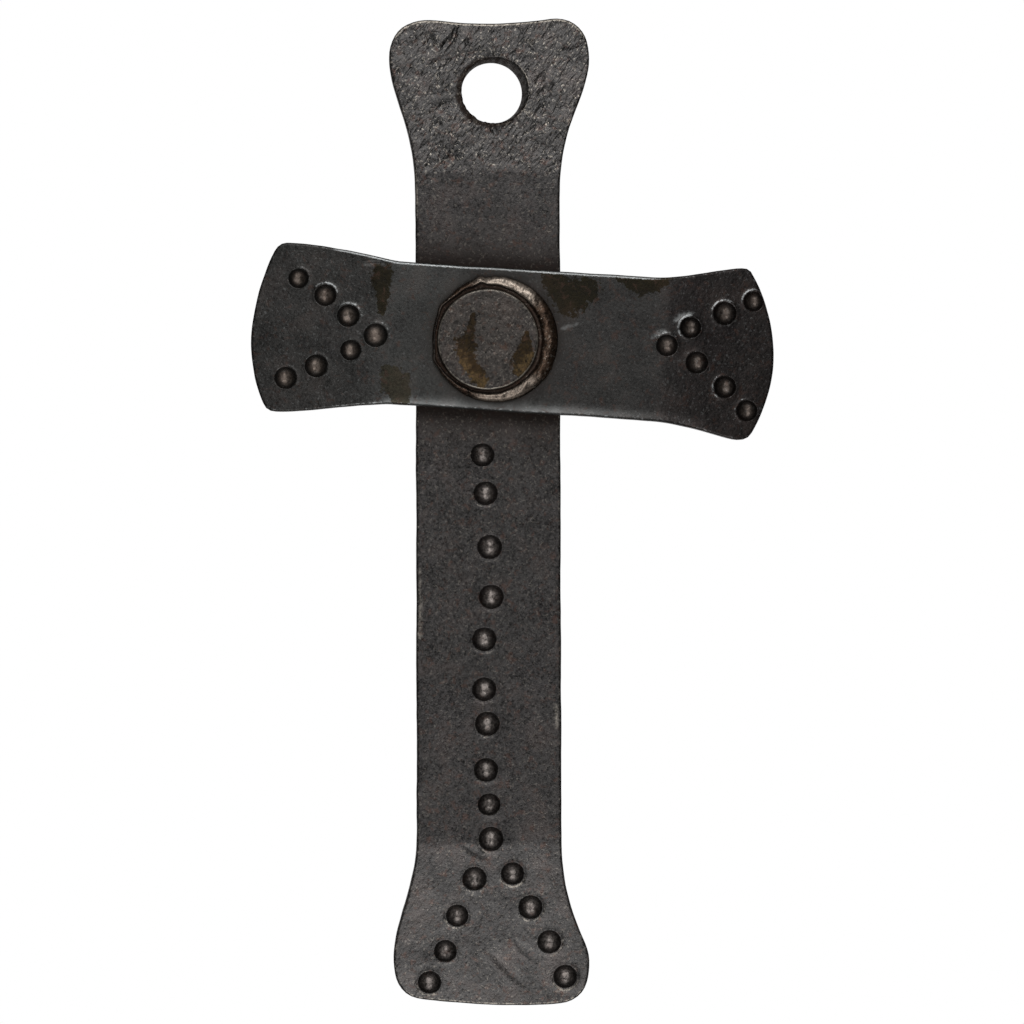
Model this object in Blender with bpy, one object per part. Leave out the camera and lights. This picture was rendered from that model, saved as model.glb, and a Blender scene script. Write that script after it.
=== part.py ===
"""Wrought iron cross: two flat bars with hammered-out ends, joined by one rivet.

Metres, +Z up. The front faces -Y and the back is the plane y = 0, which lies on the wall.
The origin is the centre of the hanging hole, on that plane. A bar is drawn in its own plane,
along its length and across it, with its back at y = 0, and is then set in its place.
"""

import math
from dataclasses import dataclass

import bmesh
import bpy
from mathutils import Matrix, Vector
from mathutils.geometry import interpolate_bezier

# Flat bar stock, one inch wide
BAR_WIDTH = 0.0254
BAR_THICKNESS = 0.0048
TIP_THICKNESS = 0.0032
EDGE_ROUND = 0.0006
FIT_GAP = 0.0003

# Hanging hole, punched from the front and a little askew
HOLE_BACK_RADIUS = 0.0054
HOLE_FRONT_RADIUS = 0.0059
HOLE_SLANT_RIGHT = 0.0006
HOLE_SLANT_UP = 0.0004

# Upright, measured from the hole's centre. A pair is its left side, then its right side.
TOP_CENTRE_LINE = -0.0007
TOP_REACH = 0.0122
TOP_TIP_SHIFT = -0.0003
TOP_SPREAD_LENGTH = 0.0300
TOP_DRAW_LENGTH = 0.0262
TOP_FLARES = (0.0046, 0.0052)
TOP_WIDEST = (0.0059, 0.0059)
TOP_CORNERS = (0.0089, 0.0069)
TOP_BOWS = (-0.0005, -0.0008)

FOOT_CENTRE_LINE = -0.0004
FOOT_REACH = 0.1607
FOOT_TIP_SHIFT = 0.0071
FOOT_SPREAD_LENGTH = 0.0305
FOOT_DRAW_LENGTH = 0.0285
FOOT_FLARES = (0.0041, 0.0050)
FOOT_WIDEST = (0.0081, 0.0074)
FOOT_CORNERS = (0.0054, 0.0053)
FOOT_BOWS = (0.0010, 0.0003)

# Crossbar, measured from the rivet. A pair is its lower side, then its upper side.
CROSSING_DROP = 0.0437
CROSSING_SHIFT = 0.0005
CROSSBAR_TILT = math.radians(3.2)

LEFT_REACH = 0.0426
LEFT_TIP_SHIFT = -0.0019
LEFT_SPREAD_LENGTH = 0.0255
LEFT_DRAW_LENGTH = 0.0215
LEFT_WAISTS = (0.0005, 0.0)
LEFT_FLARES = (0.0020, 0.0022)
LEFT_WIDEST = (0.0050, 0.0057)
LEFT_CORNERS = (0.0020, 0.0028)
LEFT_BOWS = (0.0024, 0.0027)

RIGHT_REACH = 0.0490
RIGHT_TIP_SHIFT = -0.0014
RIGHT_SPREAD_LENGTH = 0.0215
RIGHT_DRAW_LENGTH = 0.0190
RIGHT_WAISTS = (0.0001, 0.0002)
RIGHT_FLARES = (0.0024, 0.0023)
RIGHT_WIDEST = (0.0056, 0.0061)
RIGHT_CORNERS = (0.0020, 0.0017)
RIGHT_BOWS = (0.0028, 0.0041)

# How the curves leave the neck and reach the widest place, and how full a corner is
UPRIGHT_EASE = (0.52, 0.30)
CROSSBAR_EASE = (0.22, 0.32)
CORNER_FULLNESS = 0.66

# Ball punch marks
MARK_RADIUS = 0.0021
MARK_DEPTH = 0.0010

# Rows of marks: each blow's share of the row's length, and how far it landed off the line
STEM_BLOWS = ((0.0, 0.0), (0.10, -0.0004), (0.24, -0.0009), (0.37, -0.0010), (0.48, 0.0004),
              (0.61, 0.0006), (0.70, 0.0002), (0.82, 0.0006), (0.91, 0.0002), (1.0, 0.0))
FOOT_LEFT_BLOWS = ((0.0, 0.0), (0.36, 0.0002), (0.69, -0.0004), (1.0, 0.0))
FOOT_RIGHT_BLOWS = ((0.0, 0.0), (0.33, -0.0001), (0.67, -0.0003), (1.0, 0.0))
LEFT_LOWER_BLOWS = ((0.29, 0.0005), (0.67, 0.0004), (1.0, 0.0))
LEFT_UPPER_BLOWS = ((0.0, 0.0), (0.35, 0.0001), (0.67, -0.0004), (1.0, 0.0))
RIGHT_LOWER_BLOWS = ((0.33, 0.0010), (0.69, 0.0008), (1.0, 0.0))
RIGHT_UPPER_BLOWS = ((0.0, 0.0), (0.30, 0.0009), (0.68, 0.0004), (1.0, 0.0))

# Where the rows start and end: back from the tip, and across from the centre line
STEM_START_BELOW_CROSSBAR = 0.0074
STEM_START_SHIFT = -0.0009
STEM_END = (0.0294, 0.0003)
FOOT_LEFT_START = (0.0224, -0.0026)
FOOT_LEFT_END = (0.0041, -0.0105)
FOOT_RIGHT_START = (0.0233, 0.0041)
FOOT_RIGHT_END = (0.0051, 0.0134)
LEFT_APEX = (0.0217, -0.0004)
LEFT_LOWER_END = (0.0064, -0.0087)
LEFT_UPPER_END = (0.0077, 0.0088)
RIGHT_APEX = (0.0189, 0.0007)
RIGHT_LOWER_END = (0.0042, -0.0099)
RIGHT_UPPER_END = (0.0041, 0.0093)

# Rivet. Heights are above the crossbar's front, and the shifts are off the shank's axis.
SHANK_RADIUS = 0.0048
TAIL_RADIUS = 0.0066
TAIL_DEPTH = 0.0017
BEAD_RADIUS = 0.0110
BEAD_HEIGHT = 0.0013
GROOVE_WIDTH = 0.0008
GROOVE_FLOOR = 0.0005
GROOVE_SHIFT = -0.0011
DISC_RADIUS = 0.0088
DISC_HEIGHT = 0.0019
DISC_BEVEL = 0.0003
DISC_SHIFT = -0.0013

# Facets
CURVE_STEPS = 7
BEAD_STEPS = 6
HOLE_SIDES = 32
MARK_SIDES = 16
RIVET_SIDES = 32

# Cutters run this far past the faces that they cut
OVERCUT = 0.0010


@dataclass(frozen=True)
class End:
    """A hammered-out end of a bar. Its two sides are the low one, then the high one, across."""

    reach: float
    heading: int
    centre_line: float
    tip_shift: float
    spread_length: float
    draw_length: float
    flares: tuple
    widest: tuple
    corners: tuple
    bows: tuple
    waists: tuple = (0.0, 0.0)

    def place(self, back, across):
        """A point in the bar's plane, from how far it is back from the tip and off the centre line."""
        return Vector((self.heading * (self.reach - back), self.centre_line + across))

    def drawn_share(self, along):
        """0 as far as the crease where the hammering starts, rising evenly to 1 at the tip."""
        back = self.reach - self.heading * along
        return min(max(1 - back / self.draw_length, 0.0), 1.0)


@dataclass(frozen=True)
class Bar:
    """A flat bar: its end at low values along it, its end at high values, and its curves' ease."""

    low_end: End
    high_end: End
    ease: tuple

    def thickness(self, along):
        """Full thickness between the ends, drawn down evenly towards each tip."""
        drawn = max(end.drawn_share(along) for end in (self.low_end, self.high_end))
        return BAR_THICKNESS - (BAR_THICKNESS - TIP_THICKNESS) * drawn


UPRIGHT = Bar(
    low_end=End(FOOT_REACH, -1, FOOT_CENTRE_LINE, FOOT_TIP_SHIFT, FOOT_SPREAD_LENGTH, FOOT_DRAW_LENGTH,
                FOOT_FLARES, FOOT_WIDEST, FOOT_CORNERS, FOOT_BOWS),
    high_end=End(TOP_REACH, 1, TOP_CENTRE_LINE, TOP_TIP_SHIFT, TOP_SPREAD_LENGTH, TOP_DRAW_LENGTH,
                 TOP_FLARES, TOP_WIDEST, TOP_CORNERS, TOP_BOWS),
    ease=UPRIGHT_EASE,
)
CROSSBAR = Bar(
    low_end=End(LEFT_REACH, -1, 0.0, LEFT_TIP_SHIFT, LEFT_SPREAD_LENGTH, LEFT_DRAW_LENGTH,
                LEFT_FLARES, LEFT_WIDEST, LEFT_CORNERS, LEFT_BOWS, LEFT_WAISTS),
    high_end=End(RIGHT_REACH, 1, 0.0, RIGHT_TIP_SHIFT, RIGHT_SPREAD_LENGTH, RIGHT_DRAW_LENGTH,
                 RIGHT_FLARES, RIGHT_WIDEST, RIGHT_CORNERS, RIGHT_BOWS, RIGHT_WAISTS),
    ease=CROSSBAR_EASE,
)


def curve(start, start_handle, end_handle, end):
    """Points of one Bezier curve, without its last point."""
    return interpolate_bezier(start, start_handle, end_handle, end, CURVE_STEPS + 1)[:-1]


def side_outline(end, side, ease):
    """One side of a spread end, from the neck to the tip. side is -1 or 1, the high side."""
    pick = (side + 1) // 2
    onward = Vector((end.heading, 0.0))
    inward = Vector((0.0, -side))
    half_width = BAR_WIDTH / 2 + end.flares[pick]
    neck = end.place(end.spread_length, side * (BAR_WIDTH / 2 - end.waists[pick]))
    widest = end.place(end.widest[pick], side * half_width)
    corner = end.place(end.bows[pick], side * (half_width - end.corners[pick]))
    tip = end.place(0.0, end.tip_shift)

    spread = abs(widest.x - neck.x)
    flare = curve(neck, neck + onward * spread * ease[0], widest - onward * spread * ease[1], widest)

    chord = tip - corner
    direction = chord.normalized()
    edge_heading = 2 * direction.dot(inward) * direction - inward
    turn = CORNER_FULLNESS * Vector((abs(corner.x - widest.x), abs(corner.y - widest.y)))
    bend = curve(widest, widest + onward * turn.x, corner - edge_heading * turn.y, corner)

    third = chord.length / 3
    edge = curve(corner, corner + edge_heading * third, tip - inward * third, tip)
    return flare + bend + edge


def bar_outline(bar):
    """The closed outline of a bar, as points along it and across it."""
    outline = []
    for end in (bar.low_end, bar.high_end):
        tip = end.place(0.0, end.tip_shift)
        first_side = end.heading
        outline += side_outline(end, -first_side, bar.ease) + [tip]
        outline += reversed(side_outline(end, first_side, bar.ease))
    return outline


def ring(bm, centre, y, radius, sides):
    """An open circle facing along Y. Returns its edges."""
    turn = Matrix.Rotation(math.radians(90), 4, "X")
    matrix = Matrix.Translation((centre[0], y, centre[1])) @ turn
    made = bmesh.ops.create_circle(bm, segments=sides, radius=radius, matrix=matrix)
    return list({edge for vert in made["verts"] for edge in vert.link_edges})


def turned_body(bm, rings, sides):
    """A closed body through rings of (centre across and up, y, radius), in order."""
    loops = [ring(bm, centre, y, radius, sides) for centre, y, radius in rings]
    for lower, upper in zip(loops, loops[1:]):
        bmesh.ops.bridge_loops(bm, edges=lower + upper)
    for loop in (loops[0], loops[-1]):
        bmesh.ops.contextual_create(bm, geom=loop)
    bmesh.ops.recalc_face_normals(bm, faces=bm.faces)


def new_object(name, bm):
    """Turn a bmesh into an object in the scene."""
    mesh = bpy.data.meshes.new(name)
    bm.to_mesh(mesh)
    bm.free()
    mesh.shade_smooth()
    mesh.set_sharp_from_angle(angle=math.radians(30))
    shape = bpy.data.objects.new(name, mesh)
    bpy.context.scene.collection.objects.link(shape)
    return shape


def iron(name, colour, roughness):
    """Forged iron under a dark, worn oxide skin."""
    material = bpy.data.materials.new(name)
    material.use_nodes = True
    shader = material.node_tree.nodes["Principled BSDF"]
    shader.inputs["Base Color"].default_value = (*colour, 1.0)
    shader.inputs["Metallic"].default_value = 0.8
    shader.inputs["Roughness"].default_value = roughness
    return material


def cut(shape, name, bm):
    """Cut a closed shape, given in the object's own space, out of the object."""
    cutter = new_object(name, bm)
    cutter.parent = shape
    cutter.hide_render = True
    cutter.display_type = "WIRE"
    boolean = shape.modifiers.new(name, "BOOLEAN")
    boolean.operation = "DIFFERENCE"
    boolean.solver = "EXACT"
    boolean.object = cutter


def flat_bar(name, bar, lie):
    """The plain bar. lie turns a point along and across the bar into one across and up."""
    bm = bmesh.new()
    corners = []
    for point in bar_outline(bar):
        x, z = lie(point)
        corners.append(bm.verts.new((x, 0.0, z)))
    back = bm.faces.new(corners)
    made = bmesh.ops.extrude_face_region(bm, geom=[back])
    front = [item for item in made["geom"] if isinstance(item, bmesh.types.BMVert)]
    bmesh.ops.translate(bm, verts=front, vec=(0.0, -BAR_THICKNESS, 0.0))
    bmesh.ops.recalc_face_normals(bm, faces=bm.faces)

    rims = [edge for edge in bm.edges if abs(edge.verts[0].co.y - edge.verts[1].co.y) < EDGE_ROUND / 2]
    bmesh.ops.bevel(bm, geom=rims, offset=EDGE_ROUND, offset_type="OFFSET", segments=2,
                    profile=0.5, affect="EDGES", material=-1, clamp_overlap=True)

    along_axis = Vector((*lie(Vector((1.0, 0.0))), 0.0)).xzy
    for end in (bar.low_end, bar.high_end):
        x, z = lie(end.place(end.draw_length, 0.0))
        bmesh.ops.bisect_plane(bm, geom=bm.verts[:] + bm.edges[:] + bm.faces[:], dist=FIT_GAP / 10,
                               plane_co=(x, 0.0, z), plane_no=along_axis)
    for vert in bm.verts:
        vert.co.y *= bar.thickness(vert.co.dot(along_axis)) / BAR_THICKNESS
    return new_object(name, bm)


def marks_in_row(start, end, blows):
    """Places of the punch's blows along a row, in the bar's plane."""
    line = end - start
    off_line = Vector((-line.y, line.x)).normalized()
    return [start + line * share + off_line * wander for share, wander in blows]


def punch_cutter(places, bar, lie):
    """A ball for each mark, sunk into the front of the bar."""
    ball = (MARK_RADIUS ** 2 + MARK_DEPTH ** 2) / (2 * MARK_DEPTH)
    poles_forward = Matrix.Rotation(math.radians(90), 4, "X")
    bm = bmesh.new()
    for place in places:
        x, z = lie(place)
        y = -bar.thickness(place.x) + MARK_DEPTH - ball
        bmesh.ops.create_uvsphere(bm, u_segments=MARK_SIDES, v_segments=MARK_SIDES, radius=ball,
                                  matrix=Matrix.Translation((x, y, z)) @ poles_forward)
    return bm


def upright_bar():
    """The long bar, with its hanging hole, its rivet bore and its marks."""
    def lie(point):
        return point.y, point.x

    shape = flat_bar("upright_bar", UPRIGHT, lie)

    hole = bmesh.new()
    rings = []
    for y in (OVERCUT, -BAR_THICKNESS - OVERCUT):
        share = -y / BAR_THICKNESS
        centre = (HOLE_SLANT_RIGHT * share, HOLE_SLANT_UP * share)
        rings.append((centre, y, HOLE_BACK_RADIUS + (HOLE_FRONT_RADIUS - HOLE_BACK_RADIUS) * share))
    turned_body(hole, rings, HOLE_SIDES)
    cut(shape, "hanging_hole_cut", hole)

    crossing = (CROSSING_SHIFT, -CROSSING_DROP)
    bore = bmesh.new()
    turned_body(bore, [(crossing, OVERCUT, TAIL_RADIUS + FIT_GAP),
                       (crossing, 0.0, TAIL_RADIUS + FIT_GAP),
                       (crossing, -TAIL_DEPTH, SHANK_RADIUS + FIT_GAP),
                       (crossing, -BAR_THICKNESS - OVERCUT, SHANK_RADIUS + FIT_GAP)], RIVET_SIDES)
    cut(shape, "upright_bore_cut", bore)

    foot = UPRIGHT.low_end
    stem_start = Vector((-CROSSING_DROP - BAR_WIDTH / 2 - STEM_START_BELOW_CROSSBAR,
                         TOP_CENTRE_LINE + STEM_START_SHIFT))
    places = marks_in_row(stem_start, foot.place(*STEM_END), STEM_BLOWS)
    places += marks_in_row(foot.place(*FOOT_LEFT_START), foot.place(*FOOT_LEFT_END), FOOT_LEFT_BLOWS)
    places += marks_in_row(foot.place(*FOOT_RIGHT_START), foot.place(*FOOT_RIGHT_END), FOOT_RIGHT_BLOWS)
    cut(shape, "upright_mark_cut", punch_cutter(places, UPRIGHT, lie))
    return shape


def crossbar():
    """The short bar in front, with its rivet bore and its two chevrons of marks."""
    def lie(point):
        return point.x, point.y

    shape = flat_bar("crossbar", CROSSBAR, lie)
    shape.location = (CROSSING_SHIFT, -BAR_THICKNESS - FIT_GAP, -CROSSING_DROP)
    shape.rotation_euler.y = CROSSBAR_TILT

    bore = bmesh.new()
    turned_body(bore, [((0.0, 0.0), OVERCUT, SHANK_RADIUS + FIT_GAP),
                       ((0.0, 0.0), -BAR_THICKNESS - OVERCUT, SHANK_RADIUS + FIT_GAP)], RIVET_SIDES)
    cut(shape, "crossbar_bore_cut", bore)

    left, right = CROSSBAR.low_end, CROSSBAR.high_end
    places = marks_in_row(left.place(*LEFT_APEX), left.place(*LEFT_LOWER_END), LEFT_LOWER_BLOWS)
    places += marks_in_row(left.place(*LEFT_APEX), left.place(*LEFT_UPPER_END), LEFT_UPPER_BLOWS)
    places += marks_in_row(right.place(*RIGHT_APEX), right.place(*RIGHT_LOWER_END), RIGHT_LOWER_BLOWS)
    places += marks_in_row(right.place(*RIGHT_APEX), right.place(*RIGHT_UPPER_END), RIGHT_UPPER_BLOWS)
    cut(shape, "crossbar_mark_cut", punch_cutter(places, CROSSBAR, lie))
    return shape


def rivet():
    """The rivet: tail hammered into its countersink, shank, beaded ring and flat disc."""
    seat = 2 * BAR_THICKNESS + FIT_GAP
    profile = [
        (0.0, 0.0, TAIL_RADIUS),
        (0.0, TAIL_DEPTH, SHANK_RADIUS),
        (0.0, seat + FIT_GAP, SHANK_RADIUS),
    ]
    for step in range(BEAD_STEPS + 1):
        turn = math.pi * step / BEAD_STEPS
        inward = (1 - math.cos(turn)) / 2
        foot = FIT_GAP + (GROOVE_FLOOR - FIT_GAP) * inward
        height = foot + (BEAD_HEIGHT - foot) * math.sin(turn)
        radius = BEAD_RADIUS + (DISC_RADIUS + GROOVE_WIDTH - BEAD_RADIUS) * inward
        profile.append((GROOVE_SHIFT * inward, seat + height, radius))
    profile += [
        (DISC_SHIFT, seat + GROOVE_FLOOR, DISC_RADIUS),
        (DISC_SHIFT, seat + DISC_HEIGHT - DISC_BEVEL, DISC_RADIUS),
        (DISC_SHIFT, seat + DISC_HEIGHT, DISC_RADIUS - DISC_BEVEL),
    ]
    bm = bmesh.new()
    turned_body(bm, [((shift, 0.0), -height, radius) for shift, height, radius in profile], RIVET_SIDES)
    shape = new_object("rivet", bm)
    shape.location = (CROSSING_SHIFT, 0.0, -CROSSING_DROP)
    return shape


def main():
    """Build the cross in an empty scene."""
    for leftover in list(bpy.data.objects):
        bpy.data.objects.remove(leftover, do_unlink=True)

    cross = bpy.data.objects.new("wrought_iron_cross", None)
    bpy.context.scene.collection.objects.link(cross)
    finishes = {
        upright_bar(): iron("stem_iron", (0.052, 0.047, 0.045), 0.60),
        crossbar(): iron("crossbar_iron", (0.040, 0.038, 0.037), 0.52),
        rivet(): iron("rivet_iron", (0.062, 0.052, 0.043), 0.58),
    }
    for shape, finish in finishes.items():
        shape.parent = cross
        shape.data.materials.append(finish)


main()
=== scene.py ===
"""Wrought iron cross: its forged surfaces and finishes, the studio light and the camera.

Each piece is modelled in millimetres in a drawing frame of its own, with Z coming out of its
front and its back at Z = 0. A bar has X along it and Y across it, and the rivet has X to the
right and Y up. The finished mesh is then placed in the frame, in metres.
"""

import logging
import math
from bisect import bisect_right
from collections.abc import Callable, Iterable
from dataclasses import dataclass
from enum import Enum
from functools import partial, reduce

import bmesh
import bpy
from mathutils import Matrix, Vector, noise
from mathutils.geometry import interpolate_bezier
from mathutils.kdtree import KDTree


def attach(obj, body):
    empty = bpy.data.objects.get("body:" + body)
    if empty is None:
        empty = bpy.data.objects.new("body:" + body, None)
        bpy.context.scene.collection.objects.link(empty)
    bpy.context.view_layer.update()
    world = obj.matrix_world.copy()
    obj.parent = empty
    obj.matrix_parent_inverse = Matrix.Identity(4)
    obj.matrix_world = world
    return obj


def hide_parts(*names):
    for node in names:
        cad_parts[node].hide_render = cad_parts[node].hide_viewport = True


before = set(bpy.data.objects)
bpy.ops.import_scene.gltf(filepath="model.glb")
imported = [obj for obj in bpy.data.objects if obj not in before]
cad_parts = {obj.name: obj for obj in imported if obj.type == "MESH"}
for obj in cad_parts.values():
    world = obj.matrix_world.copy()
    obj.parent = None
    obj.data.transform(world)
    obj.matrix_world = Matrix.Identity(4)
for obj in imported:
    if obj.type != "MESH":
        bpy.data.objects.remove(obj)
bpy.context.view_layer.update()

log = logging.getLogger("wrought_iron_cross")

# Flat bar stock and the fits between the pieces, in millimetres
MM = 0.001
BAR_WIDTH = 25.4
BAR_THICKNESS = 4.8
TIP_THICKNESS = 3.2
EDGE_ROUND = 0.36
FIT_GAP = 0.3
SHANK_RADIUS = 4.8
TAIL_RADIUS = 6.6
TAIL_DEPTH = 1.7
BEAD_RADIUS = 11.0
BORE_RADIUS = SHANK_RADIUS + FIT_GAP

# Where the rivet joins the bars, right of and below the hanging hole, and the crossbar's tilt
CROSSING = Vector((0.5, -43.7))
CROSSBAR_TILT = math.radians(3.2)

# Attributes that tell a finish how a place looks: how beaten, stained or dirty it is, and where painted
# highlights, a painted reflection and painted shade lie
ZONES = ("edge", "flare", "bowl", "pale", "stain", "gold", "grime_and_shade", "coarse")
EDGE, FLARE, BOWL, PALE, STAIN, GOLD, GRIME_AND_SHADE, COARSE = ZONES


def smooth_step(value: float) -> float:
    """0 up to 0, 1 from 1, and an S-curve between."""
    value = min(max(value, 0.0), 1.0)
    return value * value * (3 - 2 * value)


def ramp(value: float, start: float, end: float) -> float:
    """A smooth change from 0 at a start to 1 at an end, which may be the lower of the two."""
    return smooth_step((value - start) / (end - start))


def hump(value: float, centre: float, reach: float) -> float:
    """1 at a centre, falling smoothly to 0 at a reach on either side."""
    return smooth_step(1 - abs(value - centre) / reach)


def rough(along: float, across: float, size: float, layer: float) -> float:
    """Smooth bumps of a size, between about -1 and 1. Each layer has its own pattern."""
    return noise.noise(Vector((along / size, across / size, layer)))


def creased(along: float, across: float, size: float, layer: float) -> float:
    """Sharp creases between swellings of a size: 0 in a crease, about 1 on a swelling."""
    return min(abs(rough(along, across, size, layer)) * 2.2, 1.0)


def hammered(along: float, across: float, size: float, layer: float) -> float:
    """Shallow hammer faces of a size, which meet in soft ridges: 0 in a face, about 1 on a ridge."""
    nearest = noise.voronoi(Vector((along / size, across / size, layer)))[0][0]
    return nearest * nearest


@dataclass(frozen=True)
class Swell:
    """Smooth bumps of a surface: how wide and how high they are, and which pattern they follow."""

    size: float
    height: float
    layer: float


def swells(along: float, across: float, layers: Iterable[Swell]) -> float:
    """The height that layers of bumps add up to at a place."""
    return sum(layer.height * rough(along, across, layer.size, layer.layer) for layer in layers)


def pull_rim(bm: bmesh.types.BMesh, rim: list[bmesh.types.BMEdge]) -> tuple[list, set]:
    """Extrude an open rim without moving it yet.

    Args:
        bm: the mesh.
        rim: the open rim's edges.

    Returns:
        The new rim's edges and its vertices.
    """
    made = bmesh.ops.extrude_edge_only(bm, edges=rim)
    rim = [item for item in made["geom"] if isinstance(item, bmesh.types.BMEdge) and item.is_boundary]
    return rim, {vert for edge in rim for vert in edge.verts}


class Side(Enum):
    """The two sides of a bar, across it."""

    LOW = -1
    HIGH = 1


@dataclass(frozen=True)
class Flank:
    """One side of a spread end, from the neck, by the widest place and the corner, to the tip.

    flare and waist are how far it goes out from the bar's side at the widest place, and in at
    the neck. widest and bow are how far back from the tip the widest place and the corner are.
    """

    flare: float
    widest: float
    corner: float
    bow: float
    neck_ease: float
    widest_ease: float
    waist: float = 0.0


@dataclass(frozen=True)
class SpreadEnd:
    """A hammered-out end of a bar, on its high (1) or low (-1) heading."""

    heading: int
    reach: float
    centre_line: float
    tip_shift: float
    spread_length: float
    draw_length: float
    low: Flank
    high: Flank

    def place(self, back: float, across: float) -> Vector:
        """A point from how far it is back from the tip and off the centre line."""
        return Vector((self.heading * (self.reach - back), self.centre_line + across))

    def back(self, along: float) -> float:
        """How far back from the tip a place along the bar is."""
        return self.reach - self.heading * along

    def drawn_share(self, along: float) -> float:
        """0 as far as the crease where the hammering starts, rising evenly to 1 at the tip."""
        return min(max(1 - self.back(along) / self.draw_length, 0.0), 1.0)


class Outline:
    """The closed outline of a bar, read by the distance round it."""

    SPACING = 0.2
    TANGENT_REACH = 0.25

    def __init__(self, points: list[Vector]) -> None:
        """Measure the outline and index its sides.

        Args:
            points: the outline's corners in order, with the bar on their left.
        """
        self.points = points
        self.starts = [0.0]
        for here, there in zip(points, points[1:] + points[:1]):
            self.starts.append(self.starts[-1] + (there - here).length)
        self.length = self.starts[-1]
        count = round(self.length / self.SPACING)
        self.marks = [self.length * index / count for index in range(count)]
        self.normals = [self.outward(distance) for distance in self.marks]
        self.tree = KDTree(count)
        for index, distance in enumerate(self.marks):
            self.tree.insert(self.at(distance).to_3d(), index)
        self.tree.balance()

    def at(self, distance: float) -> Vector:
        """The point at a distance round the outline."""
        distance %= self.length
        index = min(bisect_right(self.starts, distance), len(self.points)) - 1
        share = (distance - self.starts[index]) / (self.starts[index + 1] - self.starts[index])
        return self.points[index].lerp(self.points[(index + 1) % len(self.points)], share)

    def outward(self, distance: float) -> Vector:
        """The direction straight out of the bar at a distance round the outline."""
        heading = self.at(distance + self.TANGENT_REACH) - self.at(distance - self.TANGENT_REACH)
        return Vector((heading.y, -heading.x)).normalized()

    def inset(self, distance: float, depth: float) -> Vector:
        """A point a depth inside the outline."""
        return self.at(distance) - self.outward(distance) * depth

    def nearest(self, place: Vector) -> tuple[float, Vector]:
        """Find the nearest place on the outline.

        Args:
            place: a point in the bar's plane.

        Returns:
            How far inside the outline the point is, and the direction out of the bar there.
        """
        foot, index, _ = self.tree.find(place.to_3d())
        outward = self.normals[index]
        return (foot.to_2d() - place).dot(outward), outward


@dataclass(frozen=True)
class Mark:
    """A ball punch's mark, with the lip that it raised towards one direction."""

    place: Vector
    radius: float
    depth: float
    lip_turn: float
    lip: float

    REACH = 1.3
    LIP_WIDTH = 0.42
    CREST = 0.34
    FULL_LIP = 0.14
    BOWL_BUMPS = (Swell(size=0.8, height=0.07, layer=89.0),)

    def height(self, place: Vector, distance: float) -> float:
        """The surface's height beside and inside the mark.

        Args:
            place: the point in the bar's plane.
            distance: how far the point is from the mark's centre.

        Returns:
            Millimetres above the bar's face, negative in the bowl.
        """
        offset = place - self.place
        facing = math.cos(math.atan2(offset.y, offset.x) - self.lip_turn)
        lip = self.lip * (0.35 + 0.65 * smooth_step(0.5 + 0.7 * facing))
        if distance >= self.radius:
            away = (distance - self.radius) / self.LIP_WIDTH
            return lip * math.exp(-away * away)
        ball = (self.radius ** 2 + self.depth ** 2) / (2 * self.depth)
        sunk = math.sqrt(ball * ball - distance * distance) - (ball - self.depth)
        rim = ramp(distance / self.radius, 0.8, 1.0)
        return lip * rim - sunk + swells(place.x, place.y, self.BOWL_BUMPS) * (1 - rim)

    def lip_wear_and_highlight(self, place: Vector, distance: float) -> float:
        """How bright the lip's crest and the rim are at a point, from its distance off the centre: partly
        abraded metal, partly a painted highlight on the lip's raised side and round the rim.
        """
        offset = place - self.place
        facing = smooth_step(0.35 + 0.8 * math.cos(math.atan2(offset.y, offset.x) - self.lip_turn))
        crest = hump(distance, self.radius + self.CREST, self.LIP_WIDTH) * facing
        rim = hump(distance, self.radius + 0.03, 0.16)
        return max(0.85 * crest * min(self.lip / self.FULL_LIP, 1.0), 0.46 * rim)


@dataclass(frozen=True)
class Dent:
    """A hammer dent, a crack or a fold: a groove with its length, width and depth."""

    along: float
    across: float
    half_length: float
    half_width: float
    depth: float
    turn: float

    def height(self, along: float, across: float) -> float:
        """How far a point is pressed down by the dent, as a height below zero."""
        reach_x, reach_y = along - self.along, across - self.across
        cosine, sine = math.cos(self.turn), math.sin(self.turn)
        lengthwise = (reach_x * cosine + reach_y * sine) / self.half_length
        sideways = (reach_y * cosine - reach_x * sine) / self.half_width
        share = lengthwise * lengthwise + sideways * sideways
        return -self.depth * smooth_step(1 - share)


@dataclass(frozen=True)
class Hole:
    """A hole through a bar, as rings of (along, across, radius, height) from front to back."""

    rings: tuple[tuple[float, float, float, float], ...]
    clearance: float


@dataclass(frozen=True)
class Stain:
    """A stain, as a stroke through places (x, y, half width)."""

    stroke: tuple[tuple[float, float, float], ...]

    def strength(self, x: float, y: float) -> float:
        """1 in the middle of the stroke, falling evenly to 0.5 at its edge and on to 0 outside."""
        best = 0.0
        for (from_x, from_y, from_width), (to_x, to_y, to_width) in zip(self.stroke, self.stroke[1:]):
            run_x, run_y = to_x - from_x, to_y - from_y
            share = ((x - from_x) * run_x + (y - from_y) * run_y) / (run_x * run_x + run_y * run_y)
            share = min(max(share, 0.0), 1.0)
            distance = math.hypot(x - from_x - run_x * share, y - from_y - run_y * share)
            best = max(best, 1 - 0.5 * distance / (from_width + (to_width - from_width) * share))
        return best


def stained(x: float, y: float, stains: Iterable[Stain]) -> float:
    """How strong the strongest of some stains is at a place."""
    return max((stain.strength(x, y) for stain in stains), default=0.0)


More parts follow.
